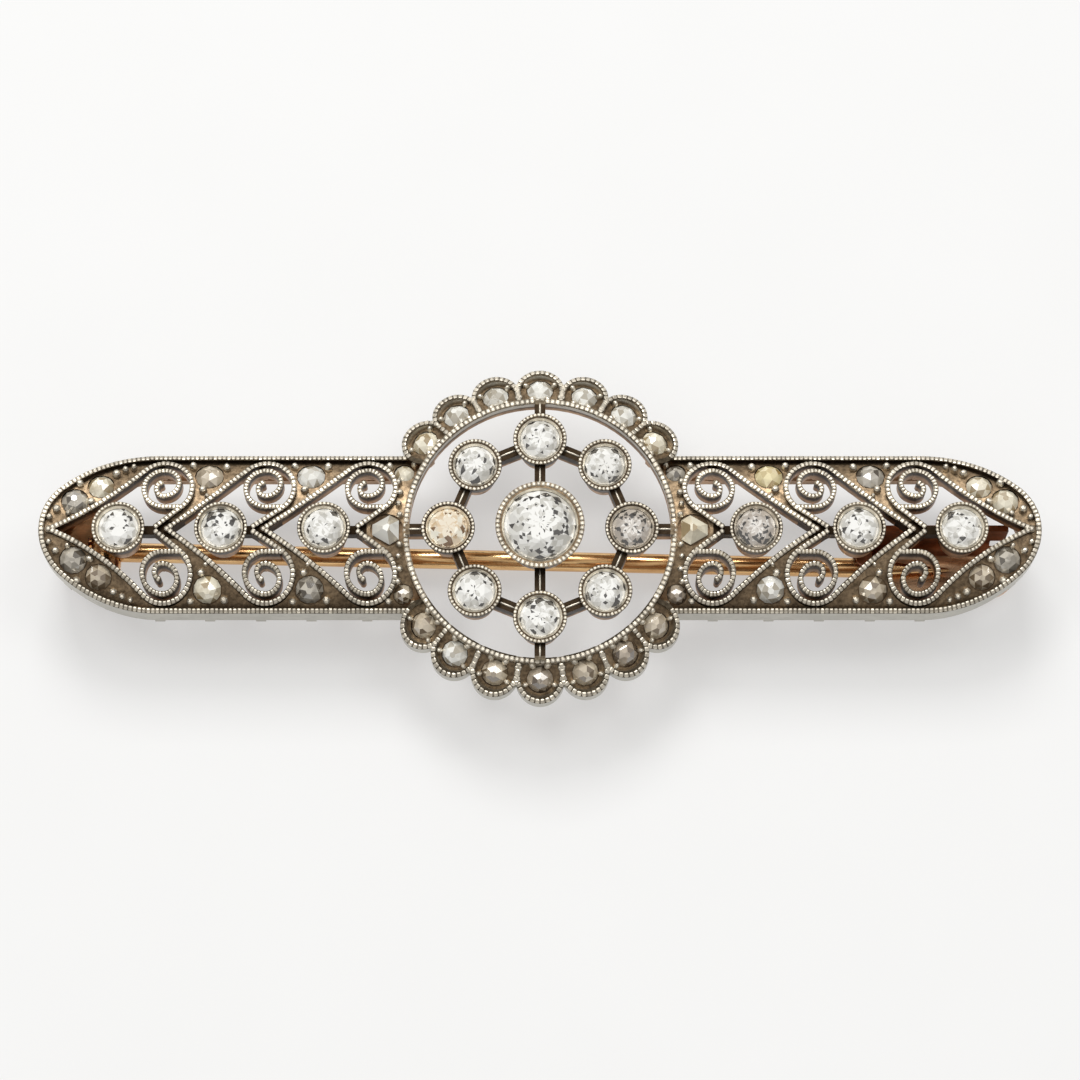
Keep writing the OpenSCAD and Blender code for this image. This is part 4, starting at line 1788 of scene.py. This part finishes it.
    def build(
        self, bead: Pellet, grain: Pellet, rail: Pellet, dice: np.random.Generator
    ) -> list[bpy.types.Object]:
        """Makes the ring's beads, grains and ridged bars.

        Args:
            bead: The milgrain bead.
            grain: The setter's grain.
            rail: The rounded ridge of a bar.
            dice: Source of the small differences between them.

        Returns:
            The pieces.
        """
        lines = self.scallop_routes() + self.rib_routes()
        scallops = [s for route in lines for s in self.laid(route, self.line_bead_w, dice)]
        ring_route = Route().arc((0.0, 0.0), self.border.ring_r, 0.0, 360.0)
        ring = self.laid(ring_route, self.ring_bead_w, dice, closed=True)
        return [
            Bench.strew("ring_milgrain", bead, ring, smooth=False),
            Bench.strew("scallop_milgrain", bead, scallops, smooth=False),
            Bench.strew("border_grains", grain, self.grains(dice), smooth=False),
            Bench.strew("bar_ridges", rail, self.ridges()),
        ]


@dataclass
class ColletCrowns(SilverWork):
    """Milgrained edges and burnished lips of the collets of one size.

    Attributes:
        name: What the collets are called.
        stones: The nodes of the stones they hold.
        rim_r: Outer radius of the collet's rim.
        stone_r: Radius of the stone.
        top: Height of the rim.
        count: Beads round one collet.
        seat_play: Room between the stone and the rim.
        crown_share: Width of the beads as a share of the rim's.
        crown_inset: How far the beads stand back from the rim's outer edge.
        bead_fill: Half a bead's length as a share of the distance between beads.
        bead_h: Height of a bead.
        sunk: How far the beads and the lip start below the rim.
        tones: Tones of the beads, from the darkest to the brightest.
        lip_tone: Tone of the lip.
        lip_out: How far the lip reaches outwards from the stone's edge.
        lip_in: How far it reaches inwards.
        lip_drop: How far it falls towards the stone.
        lip_w: Thickness of its inner edge.
        lip_sides: Sides of its circle.
    """

    name: str
    stones: tuple[str, ...]
    rim_r: float
    stone_r: float
    top: float
    count: int
    seat_play: float = 0.05
    crown_share: float = 0.68
    crown_inset: float = 0.01
    bead_fill: float = 0.43
    bead_h: float = 0.09
    sunk: float = 0.02
    tones: Pair = (0.4, 1.0)
    lip_tone: float = 0.8
    lip_out: float = 0.045
    lip_in: float = 0.07
    lip_drop: float = 0.12
    lip_w: float = 0.05
    lip_sides: int = 48

    def centres(self) -> list[Vector]:
        """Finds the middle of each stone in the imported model.

        Returns:
            The middles, in millimetres.
        """
        boxes = [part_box(stone) for stone in self.stones]
        return [(low + high) / 2 / MM for low, high in boxes]

    def crown(self, dice: np.random.Generator) -> list[Setting]:
        """Places the beads round every rim.

        Args:
            dice: Source of where each row starts and of the beads' tones.

        Returns:
            A setting for each bead.
        """
        width = (self.rim_r - self.stone_r - self.seat_play) * self.crown_share
        line_r = self.rim_r - width / 2 - self.crown_inset
        pitch = 2 * math.pi * line_r / self.count
        size = (pitch * self.bead_fill, width / 2, self.bead_h)
        settings = []
        for c in self.centres():
            offset = dice.uniform(0.0, 1.0)
            for i in range(self.count):
                a = 2 * math.pi * (i + offset) / self.count
                x, y = math.cos(a), math.sin(a)
                spot = Vector((c.x + line_r * x, c.y + line_r * y, self.top - self.sunk))
                tone = dice.uniform(*self.tones)
                settings.append(Setting(spot, Vector((-y, x, 0.0)), UP, size, tone))
        return settings

    def lip(self) -> Pellet:
        """Models the burnished lip that holds one stone: a ring pushed in over its edge.

        Returns:
            The lip in millimetres, with the collet's rim at z = 0.
        """
        outer = self.stone_r + self.lip_out
        inner = self.stone_r - self.lip_in
        middle = (0.0, 0.0, 0.0)
        start = (0.0, 0.0, -self.sunk)
        Bench.clear_selection()
        bpy.ops.mesh.primitive_circle_add(
            vertices=self.lip_sides, radius=outer, fill_type="NOTHING", location=start
        )
        bpy.ops.object.mode_set(mode="EDIT")
        bpy.ops.mesh.select_all(action="SELECT")
        bpy.ops.mesh.extrude_region_move()
        bpy.ops.transform.resize(value=(inner / outer, inner / outer, 1.0), center_override=middle)
        bpy.ops.transform.translate(value=(0.0, 0.0, -self.lip_drop))
        bpy.ops.mesh.extrude_region_move()
        bpy.ops.transform.translate(value=(0.0, 0.0, -self.lip_w))
        bpy.ops.mesh.extrude_region_move()
        bpy.ops.transform.resize(value=(outer / inner, outer / inner, 1.0), center_override=middle)
        bpy.ops.mesh.select_all(action="SELECT")
        bpy.ops.mesh.normals_make_consistent(inside=False)
        return Bench.take_pellet()

    def build(self, bead: Pellet, dice: np.random.Generator) -> list[bpy.types.Object]:
        """Makes the crowns and the lips.

        Args:
            bead: The milgrain bead.
            dice: Source of the small differences between beads.

        Returns:
            The pieces.
        """
        ahead = Vector((1.0, 0.0, 0.0))
        as_made = (1.0, 1.0, 1.0)
        lips = [
            Setting(Vector((c.x, c.y, self.top)), ahead, UP, as_made, self.lip_tone)
            for c in self.centres()
        ]
        return [
            Bench.strew(f"{self.name}_milgrain", bead, self.crown(dice), smooth=False),
            Bench.strew(f"{self.name}_lips", self.lip(), lips),
        ]


class PackedPieces:
    """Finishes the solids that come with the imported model.

    Attributes:
        halo_tints: Tints of the border's stones, from 1 to 14.
        tinted_stones: The old-cut stones that have a tint of their own.
        stone_tints: The finish of each such tint.
        palette: The shared groups.
    """

    halo_tints = (
        RoseTint.CREAM, *(RoseTint.WHITE,) * 5, RoseTint.CREAM, RoseTint.TAN, RoseTint.BROWN,
        RoseTint.TAN, RoseTint.BROWN, RoseTint.TAN, RoseTint.WHITE, RoseTint.TAN,
    )
    tinted_stones = {
        "ring_diamond_7": "honey",
        "ring_diamond_3": "smoke",
        "bar_diamond_4": "smoke",
    }
    stone_tints = {
        "honey": {
            "light": (1.0, 0.96, 0.82, 1.0),
            "grey": (0.66, 0.42, 0.18, 1.0),
            "dark": (0.2, 0.1, 0.03, 1.0),
        },
        "smoke": {
            "light": (0.9, 0.86, 0.8, 1.0),
            "grey": (0.34, 0.28, 0.22, 1.0),
            "dim": 0.95,
        },
    }

    def __init__(self, palette: Palette) -> None:
        """Keeps the palette."""
        self.palette = palette

    @staticmethod
    def paint(node: str, material: bpy.types.Material) -> None:
        """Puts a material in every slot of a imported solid.

        Args:
            node: The solid's name.
            material: Its finish.
        """
        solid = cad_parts[node]
        if not solid.material_slots:
            solid.data.materials.append(material)
        for place in solid.material_slots:
            place.material = material

    def dress_metal(self) -> None:
        """Finishes the silver front and the gold fittings."""
        self.paint("openwork_mount", SilverFinish("openwork_silver").material(self.palette))
        wire = GoldFinish("polished_gold").material(self.palette)
        for node in ("pin_stem", "hinge_rivet"):
            self.paint(node, wire)
        # The hinge block and the catch carry brown painted shade at the heights given here.
        plate = GoldFinish("shaded_hinge_gold", shade_heights=(1.4, 1.87), roughness=0.2)
        self.paint("hinge_block", plate.material(self.palette))
        hook = GoldFinish(
            "shaded_catch_gold",
            colour=(0.86, 0.56, 0.34, 1.0),
            smear=(0.60, 0.34, 0.2, 1.0),
            shade_heights=(0.6, 4.0),
            roughness=0.2,
        )
        self.paint("catch", hook.material(self.palette))

    def dress_old_cuts(self) -> None:
        """Finishes the old-cut stones, three of them with a tint."""
        seed_step = 3.0
        for i, node in enumerate(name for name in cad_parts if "diamond" in name):
            low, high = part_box(node)
            middle = (low + high) / 2
            radius = (high.x - low.x) / 2
            tint = self.stone_tints.get(self.tinted_stones.get(node, ""), {})
            spot = (middle.x, middle.y)
            finish = StoneFinish(f"old_cut_{node}", spot, radius, seed=seed_step * i, **tint)
            self.paint(node, finish.material(self.palette))

    def dress_roses(self) -> None:
        """Finishes the rose-cut stones."""
        tint = RoseTint
        plain = {
            t: RoseFinish(f"rose_cut_{t.name.lower()}", (t,)).material(self.palette) for t in tint
        }
        for i, t in enumerate(self.halo_tints):
            self.paint(f"halo_rose_{i + 1}", plain[t])
        for node, t in (("drop_rose_left", tint.WHITE), ("drop_rose_right", tint.CREAM)):
            drop = RoseFinish(f"rose_cut_{node}", (t,), clear=0.05, seed=6.0)
            self.paint(node, drop.material(self.palette))
        left = RoseFinish(
            "rose_cut_left_arm",
            upper=(tint.GREY, tint.CREAM, tint.TAN, tint.WHITE, tint.CREAM),
            lower=(tint.GREY, tint.TAN, tint.CREAM, tint.GREY, tint.TAN),
            edges=(-25.0, -21.0, -15.5, -10.0),
        )
        right = RoseFinish(
            "rose_cut_right_arm",
            upper=(tint.GREY, tint.YELLOW, tint.GREY, tint.CREAM, tint.CREAM),
            lower=(tint.BROWN, tint.WHITE, tint.TAN, tint.TAN, tint.GREY),
            edges=(10.0, 15.5, 21.0, 25.0),
        )
        for node, wing in (("wing_roses_left", left), ("wing_roses_right", right)):
            self.paint(node, wing.material(self.palette))

    def dress(self) -> None:
        """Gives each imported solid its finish."""
        self.dress_metal()
        self.dress_old_cuts()
        self.dress_roses()


@dataclass(frozen=True)
class Lamp:
    """A soft square lamp that faces the brooch.

    Attributes:
        name: Its name.
        place: Where it hangs, in metres.
        size: Length of its sides, in metres.
        power: Its power in watts.
    """

    name: str
    place: tuple[float, float, float]
    size: float
    power: float

    def hang(self) -> None:
        """Adds the lamp to the scene."""
        data = bpy.data.lights.new(self.name, "AREA")
        data.energy = self.power
        data.size = self.size
        lamp = bpy.data.objects.new(self.name, data)
        lamp.location = self.place
        lamp.rotation_euler = (-Vector(self.place)).to_track_quat("-Z", "Y").to_euler()
        bpy.context.scene.collection.objects.link(lamp)


@dataclass
class Studio:
    """Table, lights and camera.

    Attributes:
        lamps: The lamps.
        aim: Point that the camera looks at, in millimetres.
        elevation: Camera's height above the horizon, in degrees.
        distance: From the camera to the aim, in millimetres.
        lens: Focal length on a 36 mm sensor.
        near: Nearest distance that the camera shows, in metres.
        horizon: Colour of the room at the level of the table.
        zenith: Colour of the room overhead.
        dusk: Z of the directions at which the horizon's colour ends and the zenith's starts.
        room_light: Strength of the room's light.
        table_size: Length of the table's sides, in metres.
        table_play: Distance from the brooch down to the table, in millimetres.
        papers: The two tones of the table's paper.
        paper_scale: Waves a metre of the changes between them.
        paper_rough: Roughness of the paper.
        paper_shine: How much it shines.
        paper_glow: Colour of the light that the table gives off.
        table_glow: Strength of that light, as of a photographer's light table.
    """

    lamps: tuple[Lamp, ...] = (
        Lamp("left_lamp", (-0.36, 0.22, 0.68), 0.3, 1.2),
        Lamp("right_lamp", (0.36, 0.22, 0.68), 0.3, 0.9),
        Lamp("back_lamp", (-0.06, 0.44, 0.5), 0.26, 2.4),
    )
    aim: tuple[float, float, float] = (0.0, -0.37, 5.0)
    elevation: float = 75.0
    distance: float = 220.0
    lens: float = 133.0
    near: float = 0.01
    horizon: Colour = (0.22, 0.21, 0.20, 1.0)
    zenith: Colour = (1.0, 0.99, 0.975, 1.0)
    dusk: Pair = (0.05, 0.8)
    room_light: float = 0.62
    table_size: float = 2.4
    table_play: float = 0.02
    papers: tuple[Colour, Colour] = ((0.39, 0.39, 0.385, 1.0), (0.41, 0.41, 0.407, 1.0))
    paper_scale: float = 90.0
    paper_rough: float = 0.6
    paper_shine: float = 0.2
    paper_glow: Colour = (1.0, 1.0, 0.995, 1.0)
    table_glow: float = 0.46

    def table(self) -> None:
        """Lays the brooch on a wide pale table."""
        Bench.clear_selection()
        below = (0.0, 0.0, -self.table_play * MM)
        bpy.ops.mesh.primitive_plane_add(size=self.table_size, location=below)
        floor = bpy.context.object
        floor.name = "table"
        bpy.ops.object.transform_apply(location=True, rotation=True, scale=True)
        material, g, shader = Palette.start("pale_paper")
        patches = g.noise(self.paper_scale, detail=4.0)
        g.feed(shader.inputs["Base Color"], g.mix(patches, *self.papers))
        shader.inputs["Roughness"].default_value = self.paper_rough
        shader.inputs["Specular IOR Level"].default_value = self.paper_shine
        shader.inputs["Emission Color"].default_value = self.paper_glow
        shader.inputs["Emission Strength"].default_value = self.table_glow
        floor.data.materials.append(material)

    def room(self) -> None:
        """Makes the pale room: bright overhead and dimmer towards the horizon."""
        world = bpy.data.worlds.new("studio")
        world.use_nodes = True
        g = Graph(world.node_tree)
        height = g.parts(g.add("TexCoord").outputs["Generated"])[2]
        backdrop = world.node_tree.nodes["Background"]
        shade = g.mix(g.span(height, *self.dusk), self.horizon, self.zenith)
        g.feed(backdrop.inputs["Color"], shade)
        backdrop.inputs["Strength"].default_value = self.room_light
        bpy.context.scene.world = world

    def camera(self) -> None:
        """Sets the camera at the brooch's front, high above it."""
        data = bpy.data.cameras.new("camera")
        data.lens = self.lens
        data.clip_start = self.near
        camera = bpy.data.objects.new("camera", data)
        tilt = math.radians(self.elevation)
        back = Vector((0.0, -math.cos(tilt), math.sin(tilt)))
        camera.location = (Vector(self.aim) + back * self.distance) * MM
        camera.rotation_euler = (-back).to_track_quat("-Z", "Y").to_euler()
        bpy.context.scene.collection.objects.link(camera)
        bpy.context.scene.camera = camera
        bpy.context.scene.view_settings.view_transform = "Standard"

    def build(self) -> None:
        """Sets the table, the lights, the room and the camera."""
        self.table()
        for lamp in self.lamps:
            lamp.hang()
        self.room()
        self.camera()


def named(stem: str, count: int) -> tuple[str, ...]:
    """Lists the names of stones that are numbered from 1."""
    return tuple(f"{stem}_{i + 1}" for i in range(count))


def main() -> None:
    """Builds the brooch's dressing piece by piece, then the studio."""
    logging.basicConfig(level=logging.INFO, format="%(name)s: %(message)s")
    seed = 7
    dice = np.random.default_rng(seed)
    camber = Camber()
    border = Border()
    palette = Palette(camber, border, Outline())
    beading = SilverFinish(
        "milgrain_silver", bright=(1.0, 0.92, 0.77, 1.0), roughness=0.32, beads=True
    )
    metal = beading.material(palette)
    bead = Bench.pillow(bevel=0.4, crown=0.85)
    grain = Bench.dome(segments=7, rings=6, foot=0.6)
    rail = Bench.dome(segments=12, rings=8, foot=0.1)
    bar_stones = named("bar_diamond", 6)
    ring_stones = named("ring_diamond", 8)
    assemblies = (
        ("left arm", BarArm(Side.LEFT, camber), (bead, grain)),
        ("right arm", BarArm(Side.RIGHT, camber), (bead, grain)),
        ("central ring", CentralRing(border), (bead, grain, rail)),
        ("bar collets", ColletCrowns("bar_collet", bar_stones, 1.46, 1.175, 6.3, 40), (bead,)),
        ("ring collets", ColletCrowns("ring_collet", ring_stones, 1.48, 1.175, 6.3, 40), (bead,)),
        (
            "centre collet",
            ColletCrowns("centre_collet", ("center_diamond",), 2.45, 2.05, 6.9, 56),
            (bead,),
        ),
    )
    for words, assembly, pellets in assemblies:
        pieces = assembly.build(*pellets, dice)
        assembly.dress(pieces, metal)
        for piece in pieces:
            log.info("%s: %s, %d faces", words, piece.name, len(piece.data.polygons))
    PackedPieces(palette).dress()
    log.info("packed solids finished")
    Studio().build()


if __name__ == "__main__":
    main()
